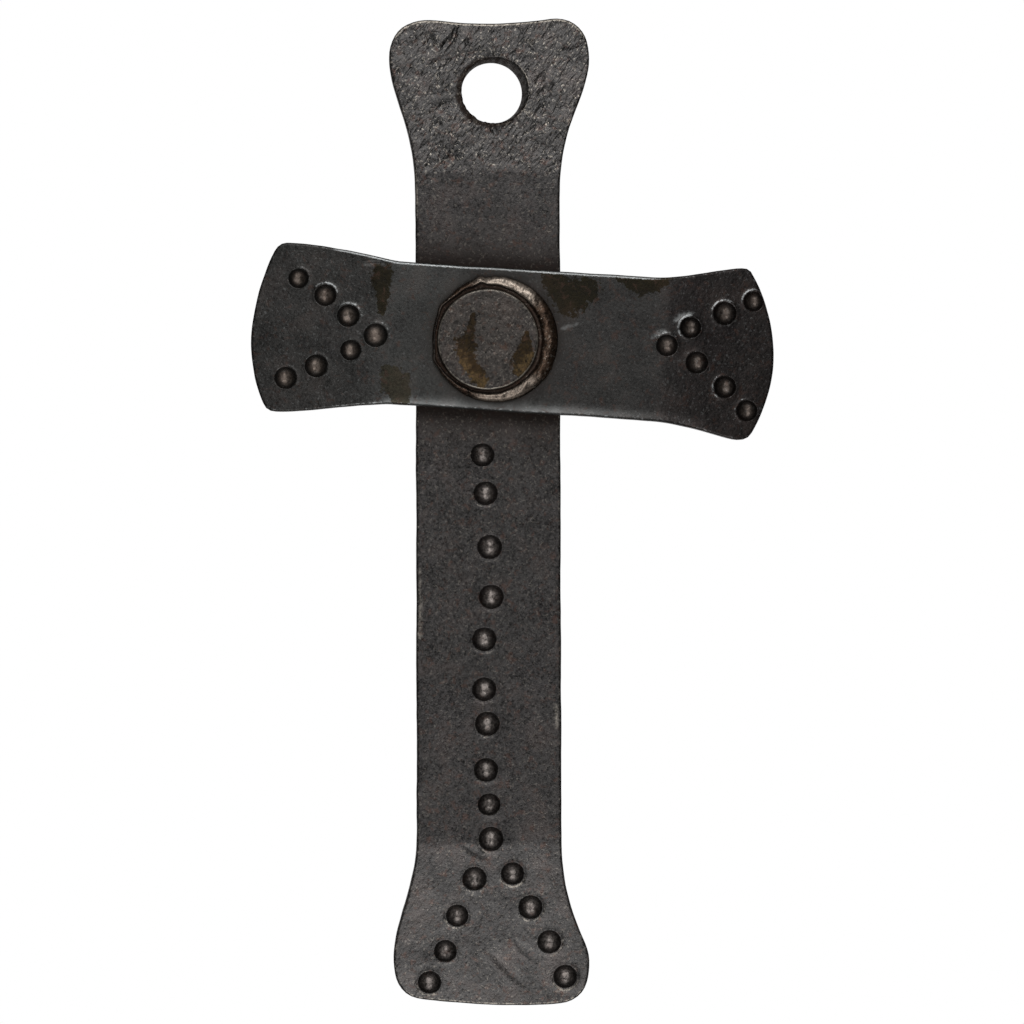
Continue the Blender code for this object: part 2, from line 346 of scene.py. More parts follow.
def marks_in_row(start: Vector, end: Vector, blows: Iterable[tuple[float, float, float]],
                 lip_turn: float, lip: float, depth: float = 1.25) -> list[Mark]:
    """Punch a row of marks.

    Args:
        start: the row's start in the bar's plane.
        end: the row's end.
        blows: for each mark its share of the row, how far it is off the line, and its radius.
        lip_turn: the direction towards which the blows raised their lips.
        lip: the lips' height.
        depth: the marks' depth.

    Returns:
        The marks, in order.
    """
    line = end - start
    off_line = Vector((-line.y, line.x)).normalized()
    marks = []
    for index, (share, wander, radius) in enumerate(blows):
        place = start + line * share + off_line * wander
        sway = 0.5 * math.sin(2.4 * index + start.x)
        marks.append(Mark(place, radius, depth + 0.1 * sway, lip_turn + sway, lip * (1 + 0.5 * sway)))
    return marks


def write_piece(name: str, bm: bmesh.types.BMesh, placing: Matrix) -> bpy.types.Object:
    """Place a drawn mesh in the frame and make it an object of the scene.

    Args:
        name: the object's name.
        bm: the mesh, in millimetres in its drawing frame. It is freed.
        placing: the drawing frame's place, in metres.

    Returns:
        The new object, at the origin.
    """
    bmesh.ops.transform(bm, matrix=placing @ Matrix.Scale(MM, 4), verts=bm.verts)
    bmesh.ops.recalc_face_normals(bm, faces=bm.faces)
    mesh = bpy.data.meshes.new(name)
    bm.to_mesh(mesh)
    bm.free()
    mesh.shade_smooth()
    piece = bpy.data.objects.new(name, mesh)
    bpy.context.scene.collection.objects.link(piece)
    return piece


def facing_front() -> Matrix:
    """A turn that takes a drawing's X, Y and Z to right, up and out of the cross's front."""
    return Matrix.Rotation(math.radians(90), 4, "X")


class ForgedBar:
    """A flat bar with two spread ends, holes, punch marks and a hammered surface."""

    CURVE_STEPS = 24
    CORNER_FULLNESS = 0.66
    LONG_CELL = 1.0
    CELLS_ACROSS = 30
    ROUND_STEPS = 3
    SIDE_STEPS = 3

    # How deep the edges waver, how the back swells, and how the beaten ends' borders wander
    WAVER = (Swell(size=9.0, height=0.09, layer=3.1), Swell(size=2.6, height=0.05, layer=7.7))
    WAVER_REACH = 3.0
    BACK_LIFT = 0.10
    BACK = (Swell(size=11.0, height=0.09, layer=21.0), Swell(size=3.0, height=0.03, layer=25.0))
    BORDER = (Swell(size=8.0, height=2.6, layer=11.0), Swell(size=2.2, height=1.0, layer=13.0))

    name: str
    node: str
    slot: str
    low_end: SpreadEnd
    high_end: SpreadEnd
    fade: float

    # The front's dents, pale rubs and stains, and how far along the finely meshed ends start
    DENTS: tuple[Dent, ...]
    RUBS: tuple[Stain, ...]
    STAINS: tuple[Stain, ...] = ()
    FINE_ENDS: tuple[float, float]

    def marks(self) -> list[Mark]:
        """The punch marks on the front."""
        raise NotImplementedError

    def holes(self) -> list[Hole]:
        """The holes through the bar."""
        raise NotImplementedError

    def relief(self, along: float, across: float) -> float:
        """The hammered front's height at a place, without its punch marks."""
        raise NotImplementedError

    def bore(self, along: float, across: float, back: Iterable[tuple[float, float]]) -> Hole:
        """The rivet's bore at a place, with the radii and heights of its rings towards the back."""
        rings = ((BORE_RADIUS + 0.5, BAR_THICKNESS), (BORE_RADIUS, BAR_THICKNESS), *back)
        return Hole(tuple((along, across, radius, height) for radius, height in rings), 0.8)

    def grime_and_shade(self, along: float, across: float) -> float:
        """How much painted shade the bar has there, in the dark tint that also serves for soiling."""
        raise NotImplementedError

    def coarse(self, along: float, across: float) -> float:
        """How coarse the skin is there."""
        raise NotImplementedError

    def scored(self, along: float, across: float) -> float:
        """How dark a hole's wall is there, 0 away from it: its scored streaks, and painted shade inside the
        hole.
        """
        return 0.0

    def hole_rim_wear_and_highlight(self, along: float, across: float) -> float:
        """How bright a hole's front rim is there: partly abraded metal, partly a painted highlight."""
        return 0.0

    def pale(self, along: float, across: float) -> float:
        """How far the front is scuffed pale there, in crumbling strokes."""
        rub = stained(along, across, self.RUBS)
        return 0.3 * smooth_step(2 * rub - 0.6) * smooth_step(0.6 + rough(along, across, 0.7, 99.0))

    def ragged(self, along: float, across: float) -> Vector:
        """How far a ragged hole's rim is pushed about there."""
        return Vector((0.0, 0.0))

    def edge_rub_and_highlight(self, along: float, across: float) -> float:
        """How bright the front edge is there: abraded metal, with painted highlights in places."""
        raise NotImplementedError

    def shade(self, along: float, across: float) -> float:
        """How far the iron has the beaten ends' colour there: partly their own scale, partly painted light
        and shade for their tilt.
        """
        return self.beaten(along, across)

    def bowl_highlight(self, along: float) -> float:
        """How strong the painted highlight in the marks' bowls is there."""
        return 1.0

    def placing(self) -> Matrix:
        """The drawing frame's place in the cross, in metres."""
        raise NotImplementedError

    def flank_points(self, end: SpreadEnd, side: Side) -> list[Vector]:
        """Draw one side of a spread end.

        Args:
            end: the spread end.
            side: which of its sides.

        Returns:
            Points from the neck to just before the tip.
        """
        flank = end.low if side is Side.LOW else end.high
        onward = Vector((end.heading, 0.0))
        inward = Vector((0.0, -side.value))
        half_width = BAR_WIDTH / 2 + flank.flare
        neck = end.place(end.spread_length, side.value * (BAR_WIDTH / 2 - flank.waist))
        widest = end.place(flank.widest, side.value * half_width)
        corner = end.place(flank.bow, side.value * (half_width - flank.corner))
        tip = end.place(0.0, end.tip_shift)
        spread = abs(widest.x - neck.x)
        chord = tip - corner
        direction = chord.normalized()
        edge_heading = 2 * direction.dot(inward) * direction - inward
        turn = self.CORNER_FULLNESS * Vector((abs(corner.x - widest.x), abs(corner.y - widest.y)))
        stretches = (
            (neck, neck + onward * spread * flank.neck_ease,
             widest - onward * spread * flank.widest_ease, widest),
            (widest, widest + onward * turn.x, corner - edge_heading * turn.y, corner),
            (corner, corner + edge_heading * chord.length / 3, tip - inward * chord.length / 3, tip),
        )
        points = []
        for start, start_handle, end_handle, stop in stretches:
            points += interpolate_bezier(start, start_handle, end_handle, stop, self.CURVE_STEPS + 1)[:-1]
        return points

    def draw_outline(self) -> tuple[Outline, list[float]]:
        """Draw the bar's outline.

        Returns:
            The outline, and the distances round it of its four corners: the low end's high and
            low sides, then the high end's low and high sides.
        """
        points: list[Vector] = []
        corners = []
        mid_bend = self.CURVE_STEPS + self.CURVE_STEPS // 2
        for end in (self.low_end, self.high_end):
            out = self.flank_points(end, Side(-end.heading))
            home = self.flank_points(end, Side(end.heading))
            corners.append(len(points) + mid_bend)
            points += out + [end.place(0.0, end.tip_shift)]
            corners.append(len(points) + len(home) - 1 - mid_bend)
            points += reversed(home)
        outline = Outline(points)
        return outline, [outline.starts[corner] for corner in corners]

    def sheet(self, bm: bmesh.types.BMesh, outline: Outline, corners: list[float], height: float) -> None:
        """Lay a grid over the bar, inside its rounded edges.

        Args:
            bm: the mesh to add to.
            outline: the bar's outline.
            corners: the distances round it of its four corners.
            height: the grid's height above the bar's back.
        """
        low_high, low_low, high_low, high_high = corners
        corner_points = [outline.inset(distance, EDGE_ROUND) for distance in corners]
        cells = round((self.low_end.reach + self.high_end.reach) / self.LONG_CELL)
        made = bmesh.ops.create_grid(bm, x_segments=cells, y_segments=self.CELLS_ACROSS, size=0.5)
        for vert in made["verts"]:
            s, t = vert.co.x + 0.5, vert.co.y + 0.5
            low_side = outline.inset(low_low + (high_low - low_low) * s, EDGE_ROUND)
            start = low_high + outline.length
            high_side = outline.inset(start + (high_high - start) * s, EDGE_ROUND)
            low_tip = outline.inset(low_low + (low_high - low_low) * t, EDGE_ROUND)
            high_tip = outline.inset(high_low + (high_high - high_low) * t, EDGE_ROUND)
            sides = low_side * (1 - t) + high_side * t
            tips = low_tip * (1 - s) + high_tip * s
            near = corner_points[1] * (1 - t) + corner_points[0] * t
            far = corner_points[2] * (1 - t) + corner_points[3] * t
            place = sides + tips - near * (1 - s) - far * s
            vert.co = (place.x, place.y, height)

    def blank(self, outline: Outline, corners: list[float]) -> bmesh.types.BMesh:
        """Make the plain bar, with rounded edges and even cells.

        Args:
            outline: the bar's outline.
            corners: the distances round it of its four corners.

        Returns:
            The closed mesh.
        """
        bm = bmesh.new()
        self.sheet(bm, outline, corners, BAR_THICKNESS)
        rim = [edge for edge in bm.edges if edge.is_boundary]
        quarter = [math.radians(90) * step / self.ROUND_STEPS for step in range(1, self.ROUND_STEPS + 1)]
        profile = [(EDGE_ROUND * math.sin(turn), BAR_THICKNESS - EDGE_ROUND * (1 - math.cos(turn)))
                   for turn in quarter]
        wall = BAR_THICKNESS - 2 * EDGE_ROUND
        profile += [(EDGE_ROUND, EDGE_ROUND + wall * (1 - step / self.SIDE_STEPS))
                    for step in range(1, self.SIDE_STEPS + 1)]
        profile += [(EDGE_ROUND * math.cos(turn), EDGE_ROUND * (1 - math.sin(turn))) for turn in quarter]
        reached = 0.0
        for offset, height in profile:
            rim, verts = pull_rim(bm, rim)
            for vert in verts:
                outward = outline.nearest(vert.co.to_2d())[1] * (offset - reached)
                vert.co = (vert.co.x + outward.x, vert.co.y + outward.y, height)
            reached = offset
        self.sheet(bm, outline, corners, 0.0)
        bmesh.ops.remove_doubles(bm, verts=bm.verts, dist=EDGE_ROUND / 10)
        return bm

    def refine(self, bm: bmesh.types.BMesh, wanted: Callable[[bmesh.types.BMFace], bool]) -> None:
        """Halve the cells of the faces that are wanted."""
        edges = {edge for face in bm.faces if wanted(face) for edge in face.edges}
        bmesh.ops.subdivide_edges(bm, edges=list(edges), cuts=1, use_grid_fill=True)

    def pierce(self, bm: bmesh.types.BMesh, hole: Hole) -> None:
        """Open a hole and line it with rings.

        Args:
            bm: the plain bar.
            hole: the hole's rings, from front to back.
        """
        loops = []
        for along, across, radius, height in (hole.rings[0], hole.rings[-1]):
            centre = Vector((along, across, height))
            reach = radius + hole.clearance
            inside = [face for face in bm.faces if abs(face.calc_center_median().z - height) < FIT_GAP
                      and (face.calc_center_median() - centre).length < reach]
            bmesh.ops.delete(bm, geom=inside, context="FACES")
            loops.append([edge for edge in bm.edges if edge.is_boundary
                          and (edge.verts[0].co - centre).length < reach + 2 * self.LONG_CELL
                          and abs(edge.verts[0].co.z - height) < FIT_GAP])
        rim = loops[0]
        first = hole.rings[0]
        verts = {vert for edge in rim for vert in edge.verts}
        turns = {vert: math.atan2(vert.co.y - first[1], vert.co.x - first[0]) for vert in verts}
        for index, vert in enumerate(sorted(verts, key=turns.get)):
            vert.co.z = first[3]
            turns[vert] = (turns[vert], -math.pi + 2 * math.pi * (index + 0.5) / len(verts))
        for step, (along, across, radius, height) in enumerate(hole.rings):
            rim, verts = pull_rim(bm, rim)
            evenness = min((step + 1) / 3, 1.0)
            moved = {}
            for vert in verts:
                source = next(edge.other_vert(vert) for edge in vert.link_edges
                              if edge.other_vert(vert) in turns)
                own, even = turns[source]
                moved[vert] = (own, even)
                turn = own + (even - own) * evenness
                vert.co = (along + radius * math.cos(turn), across + radius * math.sin(turn), height)
            turns = moved
        bmesh.ops.triangle_fill(bm, use_beauty=True, edges=rim + loops[1])

    def forge(self, bm: bmesh.types.BMesh, outline: Outline, marks: list[Mark]) -> None:
        """Beat the plain bar into its hammered shape, and note how each place looks, painted light and shade
        included.

        Args:
            bm: the plain bar, with its holes.
            outline: the bar's outline.
            marks: the punch marks.
        """
        layers = {name: bm.verts.layers.float.new(name) for name in ZONES}
        tree = KDTree(len(marks))
        for index, mark in enumerate(marks):
            tree.insert(mark.place.to_3d(), index)
        tree.balance()
        for vert in bm.verts:
            place, depth = vert.co.to_2d(), vert.co.z
            front = ramp(depth, 0.0, BAR_THICKNESS)
            _, index, distance = tree.find(place.to_3d())
            mark = marks[index]
            if depth > BAR_THICKNESS - FIT_GAP and abs(distance - mark.radius) < 0.06:
                place = mark.place + (place - mark.place) * (mark.radius / distance)
                distance = mark.radius
            inside, outward = outline.nearest(place)
            along, across = place
            height = self.relief(along, across)
            wear_and_highlight = 0.0
            if distance < mark.radius + mark.REACH:
                height += mark.height(place, distance)
                wear_and_highlight = mark.lip_wear_and_highlight(place, distance)
            from_centre = distance / mark.radius
            # The bowls' lighter middles: partly burnished metal, partly a painted highlight
            vert[layers[BOWL]] = ramp(from_centre, 0.88, 0.38) * front * self.bowl_highlight(along)
            # Painted shade on the marks' walls
            wall = ramp(from_centre, 0.35, 0.70) * ramp(from_centre, 1.04, 0.96)
            near_edge = hump(inside, 0.75 * EDGE_ROUND, 0.42)
            # The pale edge tint: abraded metal, and painted highlights on the lips, the hole's rim and the
            # top edges, with a painted reflection on the upright's left neck
            wear_and_highlight = max(wear_and_highlight, self.hole_rim_wear_and_highlight(along, across), near_edge * self.edge_rub_and_highlight(along, across))
            vert[layers[EDGE]] = wear_and_highlight * front
            vert[layers[FLARE]] = self.shade(along, across)
            vert[layers[PALE]] = self.pale(along, across) * front
            vert[layers[STAIN]] = stained(along, across, self.STAINS) * front
            vert[layers[GOLD]] = ramp(across, 11.0, -9.0)
            # The dark tint: the crossbar's painted shadow on the upright, painted shade on the marks' walls
            # and in the hanging hole, the hole's scored streaks, and a thin darker line along the outline
            dirt_and_shade = max(self.grime_and_shade(along, across), 0.35 * wall) * front
            vert[layers[GRIME_AND_SHADE]] = max(dirt_and_shade, self.scored(along, across), 0.25 * ramp(inside, 0.4, 0.0))
            vert[layers[COARSE]] = self.coarse(along, across)
            waver = swells(along, across, self.WAVER) * ramp(inside, self.WAVER_REACH, 0.0)
            torn = ramp(depth / BAR_THICKNESS, 0.5, 0.85)
            shift = outward * waver + self.ragged(along, across) * torn
            back = self.BACK_LIFT + swells(along, across, self.BACK)
            scaled = depth * self.thickness(along) / BAR_THICKNESS
            vert.co = (along + shift.x, across + shift.y, scaled + height * front + back * (1 - front))

    def thickness(self, along: float) -> float:
        """Full thickness between the ends, drawn down evenly towards each tip."""
        drawn = max(end.drawn_share(along) for end in (self.low_end, self.high_end))
        return BAR_THICKNESS - (BAR_THICKNESS - TIP_THICKNESS) * drawn

    def beaten(self, along: float, across: float) -> float:
        """0 on the plain bar, 1 where an end has been hammered out."""
        wander = swells(along, across, self.BORDER)
        return max(smooth_step((end.draw_length - end.back(along) + wander) / self.fade + 0.5)
                   for end in (self.low_end, self.high_end))

    def build(self) -> bpy.types.Object:
        """Make the bar and place it in the cross."""
        outline, corners = self.draw_outline()
        marks = self.marks()
        bm = self.blank(outline, corners)
        self.refine(bm, lambda face: face.calc_center_median().z > EDGE_ROUND)
        self.refine(bm, lambda face: self.is_front(face) and self.in_fine_zone(face, marks))
        self.refine(bm, lambda face: self.is_front(face) and self.mark_distance(face, marks) < 0.35)
        for hole in self.holes():
            self.pierce(bm, hole)
        self.forge(bm, outline, marks)
        return write_piece(self.name, bm, self.placing())

    def is_front(self, face: bmesh.types.BMFace) -> bool:
        """Whether a face of the plain bar is on its front or its front edge."""
        return face.calc_center_median().z > BAR_THICKNESS - 0.7 * EDGE_ROUND

    def mark_distance(self, face: bmesh.types.BMFace, marks: list[Mark]) -> float:
        """How far a face is outside the nearest mark's rim."""
        place = face.calc_center_median().to_2d()
        return min((place - mark.place).length - mark.radius for mark in marks)

    def in_fine_zone(self, face: bmesh.types.BMFace, marks: list[Mark]) -> bool:
        """Whether a face needs a fine mesh, by a mark or on one of the beaten ends."""
        along, (low, high) = face.calc_center_median().x, self.FINE_ENDS
        return along < low or along > high or self.mark_distance(face, marks) < 1.0


class UprightBar(ForgedBar):
    """The long bar, with its hanging hole."""

    name = "forged_upright_bar"
    node = "upright_bar"
    slot = "upright_iron"
    low_end = SpreadEnd(
        heading=-1, reach=160.7, centre_line=-0.4, tip_shift=7.1, spread_length=30.5, draw_length=28.5,
        low=Flank(flare=4.1, widest=8.1, corner=5.4, bow=1.0, neck_ease=0.45, widest_ease=0.33),
        high=Flank(flare=5.0, widest=7.4, corner=5.3, bow=0.3, neck_ease=0.65, widest_ease=0.20),
    )
    high_end = SpreadEnd(
        heading=1, reach=12.2, centre_line=-0.7, tip_shift=-0.3, spread_length=30.0, draw_length=26.2,
        low=Flank(flare=4.6, widest=5.9, corner=8.9, bow=-0.5, neck_ease=0.52, widest_ease=0.30),
        high=Flank(flare=5.2, widest=5.9, corner=6.9, bow=-0.8, neck_ease=0.52, widest_ease=0.30),
    )

    fade = 5.0

    # The hanging hole at the back, and how far its front ring is up, right and wider
    HOLE_RADIUS = 5.4
    HOLE_SLANT = (0.35, 0.5)
    HOLE_SPREAD = 0.4

    # How far its rims' rings are sunk, as a share of the thickness, and how far they open out
    HOLE_LIPS = ((0.0, 0.35), (0.015, 0.14), (0.05, 0.03))

    # Dents, cracks and folds in the beaten top and foot
    DENTS = (
        Dent(10.0, -6.6, 2.2, 0.40, 0.30, 0.25),
        Dent(8.4, -7.9, 1.9, 0.70, 0.26, 0.55),
        Dent(8.6, -4.3, 1.1, 0.22, 0.24, -0.05),
        Dent(5.2, -9.2, 2.4, 1.2, 0.16, 1.2),
        Dent(3.4, -5.2, 1.8, 0.8, 0.14, 0.9),
        Dent(9.2, -10.8, 1.8, 0.9, 0.14, -0.4),
        Dent(2.4, 8.6, 1.6, 0.7, 0.20, 0.6),
        Dent(0.4, 9.4, 2.2, 0.8, 0.16, 0.9),
        Dent(-6.4, 0.4, 1.6, 0.6, 0.20, -0.4),
        Dent(-5.4, 2.9, 1.8, 0.6, 0.16, 0.8),
        Dent(-6.6, 7.0, 2.2, 0.5, 0.14, 0.9),
        Dent(-3.2, 8.4, 1.8, 0.6, 0.14, 0.6),
        Dent(-2.6, -8.7, 2.2, 1.0, 0.10, 0.9),
        Dent(-133.6, -2.7, 3.0, 0.9, 0.12, 2.04),
        Dent(-154.6, 3.3, 5.4, 1.1, 0.11, 2.32),
        Dent(-151.0, 6.2, 3.6, 1.0, 0.07, 2.30),
        Dent(-147.0, -4.0, 4.0, 2.0, 0.08, 0.6),
    )

    # The bar's swells, the beaten ends' lumps, folds and hammer faces, and the hole's torn rim
    SWELLS = (Swell(size=12.0, height=0.07, layer=1.0), Swell(size=4.5, height=0.035, layer=2.0),
              Swell(size=0.9, height=0.010, layer=5.0))
    LUMP_SIZE = 3.4
    FOLD_HEADING = (0.57, 0.82)
    FOLD_SIZE = 2.3
    WRINKLE_SIZE = 1.0
    FACE_SIZE = 6.0
    TEARS = (Swell(size=0.9, height=0.16, layer=91.0), Swell(size=0.45, height=0.12, layer=93.0))

    FINE_ENDS = (-131.0, -17.0)

    # How far the painted shadow of the crossbar reaches along the upright
    CROSSBAR_SHADOW_REACH = 3.2

    RUBS = (
        Stain(((-84.0, -12.6, 0.25), (-96.0, -12.6, 0.40))),
        Stain(((-108.0, 11.3, 0.40), (-111.5, 11.4, 0.30))),
    )

    STEM_BLOWS = ((0.0, 0.0, 2.05), (0.10, -0.4, 2.1), (0.24, -0.9, 2.15), (0.37, -1.0, 2.15),
                  (0.48, 0.4, 2.1), (0.61, 0.6, 2.1), (0.70, 0.2, 2.15), (0.82, 0.6, 2.1),
                  (0.91, 0.2, 1.95), (1.0, 0.0, 2.15))
    FOOT_LEFT_BLOWS = ((0.0, 0.0, 2.1), (0.36, 0.2, 1.95), (0.69, -0.4, 1.95), (1.0, 0.0, 2.0))
    FOOT_RIGHT_BLOWS = ((0.0, 0.0, 2.0), (0.33, -0.1, 2.1), (0.67, -0.3, 2.05), (1.0, 0.0, 2.05))

    def marks(self) -> list[Mark]:
        """Ten marks down the stem and a fork of eight on the foot."""
        foot = self.low_end
        start = Vector((CROSSING.y - BAR_WIDTH / 2 - 7.4, self.high_end.centre_line - 0.9))
        down = math.radians(180)
        marks = marks_in_row(start, foot.place(29.4, 0.3), self.STEM_BLOWS, down, 0.07)
        marks += marks_in_row(foot.place(22.4, -2.6), foot.place(4.1, -10.5), self.FOOT_LEFT_BLOWS,
                              down, 0.10)
        marks += marks_in_row(foot.place(23.3, 4.1), foot.place(5.1, 13.4), self.FOOT_RIGHT_BLOWS,
                              math.radians(150), 0.12)
        return marks

    def holes(self) -> list[Hole]:
        """The hanging hole, and the rivet's bore with its countersink at the back."""
        up, right = self.HOLE_SLANT
        walls = [(1.0, 1 - sink, lip) for sink, lip in self.HOLE_LIPS]
        walls += [(share, share, 0.0) for share in (0.86, 0.68, 0.5, 0.32, 0.14)]
        walls += [(0.0, sink, lip) for sink, lip in reversed(self.HOLE_LIPS)]
        rings = tuple((up * slant, right * slant, self.HOLE_RADIUS + self.HOLE_SPREAD * slant ** 2 + lip,
                       BAR_THICKNESS * share) for slant, share, lip in walls)
        sunk = TAIL_RADIUS + FIT_GAP
        countersink = ((BORE_RADIUS, TAIL_DEPTH), (sunk, 0.1), (sunk + 0.2, 0.0))
        return [Hole(rings, 0.5), self.bore(CROSSING.y, CROSSING.x, countersink)]

    def relief(self, along: float, across: float) -> float:
        """Long low swells on the stem, and creased scale, dents and cracks on the beaten ends."""
        swell = swells(along, across, self.SWELLS)
        beaten = self.beaten(along, across)
        if beaten <= 0.0:
            return swell
        cosine, sine = self.FOLD_HEADING
        skew_x, skew_y = along * cosine - across * sine, along * sine + across * cosine
        folds = creased(skew_x, skew_y * 0.45, self.FOLD_SIZE, 31.0) - 0.5
        wrinkles = creased(skew_x, skew_y * 0.5, self.WRINKLE_SIZE, 37.0) - 0.5
        lumps = rough(along, across, self.LUMP_SIZE, 41.0)
        faces = hammered(along, across, self.FACE_SIZE, 43.0) - 0.3
        top, left = ramp(along, -40.0, -20.0), ramp(across, 6.0, -6.0)
        scale = (0.020 + 0.040 * top * left) * folds + (0.010 + 0.024 * top) * wrinkles
        scale += (0.03 + 0.04 * top) * lumps + 0.04 * faces
        dents = sum(dent.height(along, across) for dent in self.DENTS)
        return swell + beaten * scale + dents

    def grime_and_shade(self, along: float, across: float) -> float:
        """Painted shadow above and below the crossbar, fading along the stem."""
        slope = math.tan(CROSSBAR_TILT) * across
        off = abs(along - CROSSING.y + slope) - BAR_WIDTH / 2
        return math.exp(-max(off, 0.0) / self.CROSSBAR_SHADOW_REACH)

    def scored(self, along: float, across: float) -> float:
        """Near 1 on the hanging hole's wall, 0 away from it: scored streaks, and painted shade inside the
        hole.
        """
        turn = math.atan2(across, along)
        scores = 1.1 + 0.7 * rough(math.cos(turn), math.sin(turn), 0.12, 95.0)
        reach = math.hypot(along, across) - self.HOLE_RADIUS - self.HOLE_SPREAD
        return scores * ramp(reach, 0.6, 0.2)

    def hole_rim_wear_and_highlight(self, along: float, across: float) -> float:
        """Bright crumbs on the hanging hole's torn rim, most of them below and on the right: partly abraded
        metal, partly a painted highlight.
        """
        up, right = self.HOLE_SLANT
        reach = math.hypot(along - up, across - right) - self.HOLE_RADIUS - self.HOLE_SPREAD - 0.35
        low_right = smooth_step(0.6 + 0.4 * (across - along) / self.HOLE_RADIUS)
        return (0.45 + 0.2 * low_right) * hump(reach, 0.0, 0.4)

    def coarse(self, along: float, across: float) -> float:
        """Coarse scale on the top, a finer one on the foot and a fine skin on the stem."""
        beaten = self.beaten(along, across)
        return 0.10 + beaten * (0.55 if along > CROSSING.y else 0.06)

    def ragged(self, along: float, across: float) -> Vector:
        """The torn rim and the scored wall of the hanging hole."""
        distance = math.hypot(along, across)
        near = ramp(distance - self.HOLE_RADIUS - self.HOLE_SPREAD, 1.2, 0.0)
        return Vector((along, across)) * (near * swells(along, across, self.TEARS) / max(distance, 1.0))

    def edge_rub_and_highlight(self, along: float, across: float) -> float:
        """A painted highlight along the top edge, a painted reflection on the left neck, abraded specks on
        the foot, and hardly at all elsewhere.
        """
        top, foot = ramp(along, 8.6, 10.4), ramp(along, -156.5, -158.5)
        left_neck = hump(along, -18.0, 11.0) if across < 0 else 0.0
        return max(0.90 * top, 0.62 * foot, 0.85 * left_neck, 0.45)

    def placing(self) -> Matrix:
        """Along the bar is up, and across it is right."""
        return facing_front() @ Matrix(((0, 1, 0, 0), (1, 0, 0, 0), (0, 0, 1, 0), (0, 0, 0, 1)))


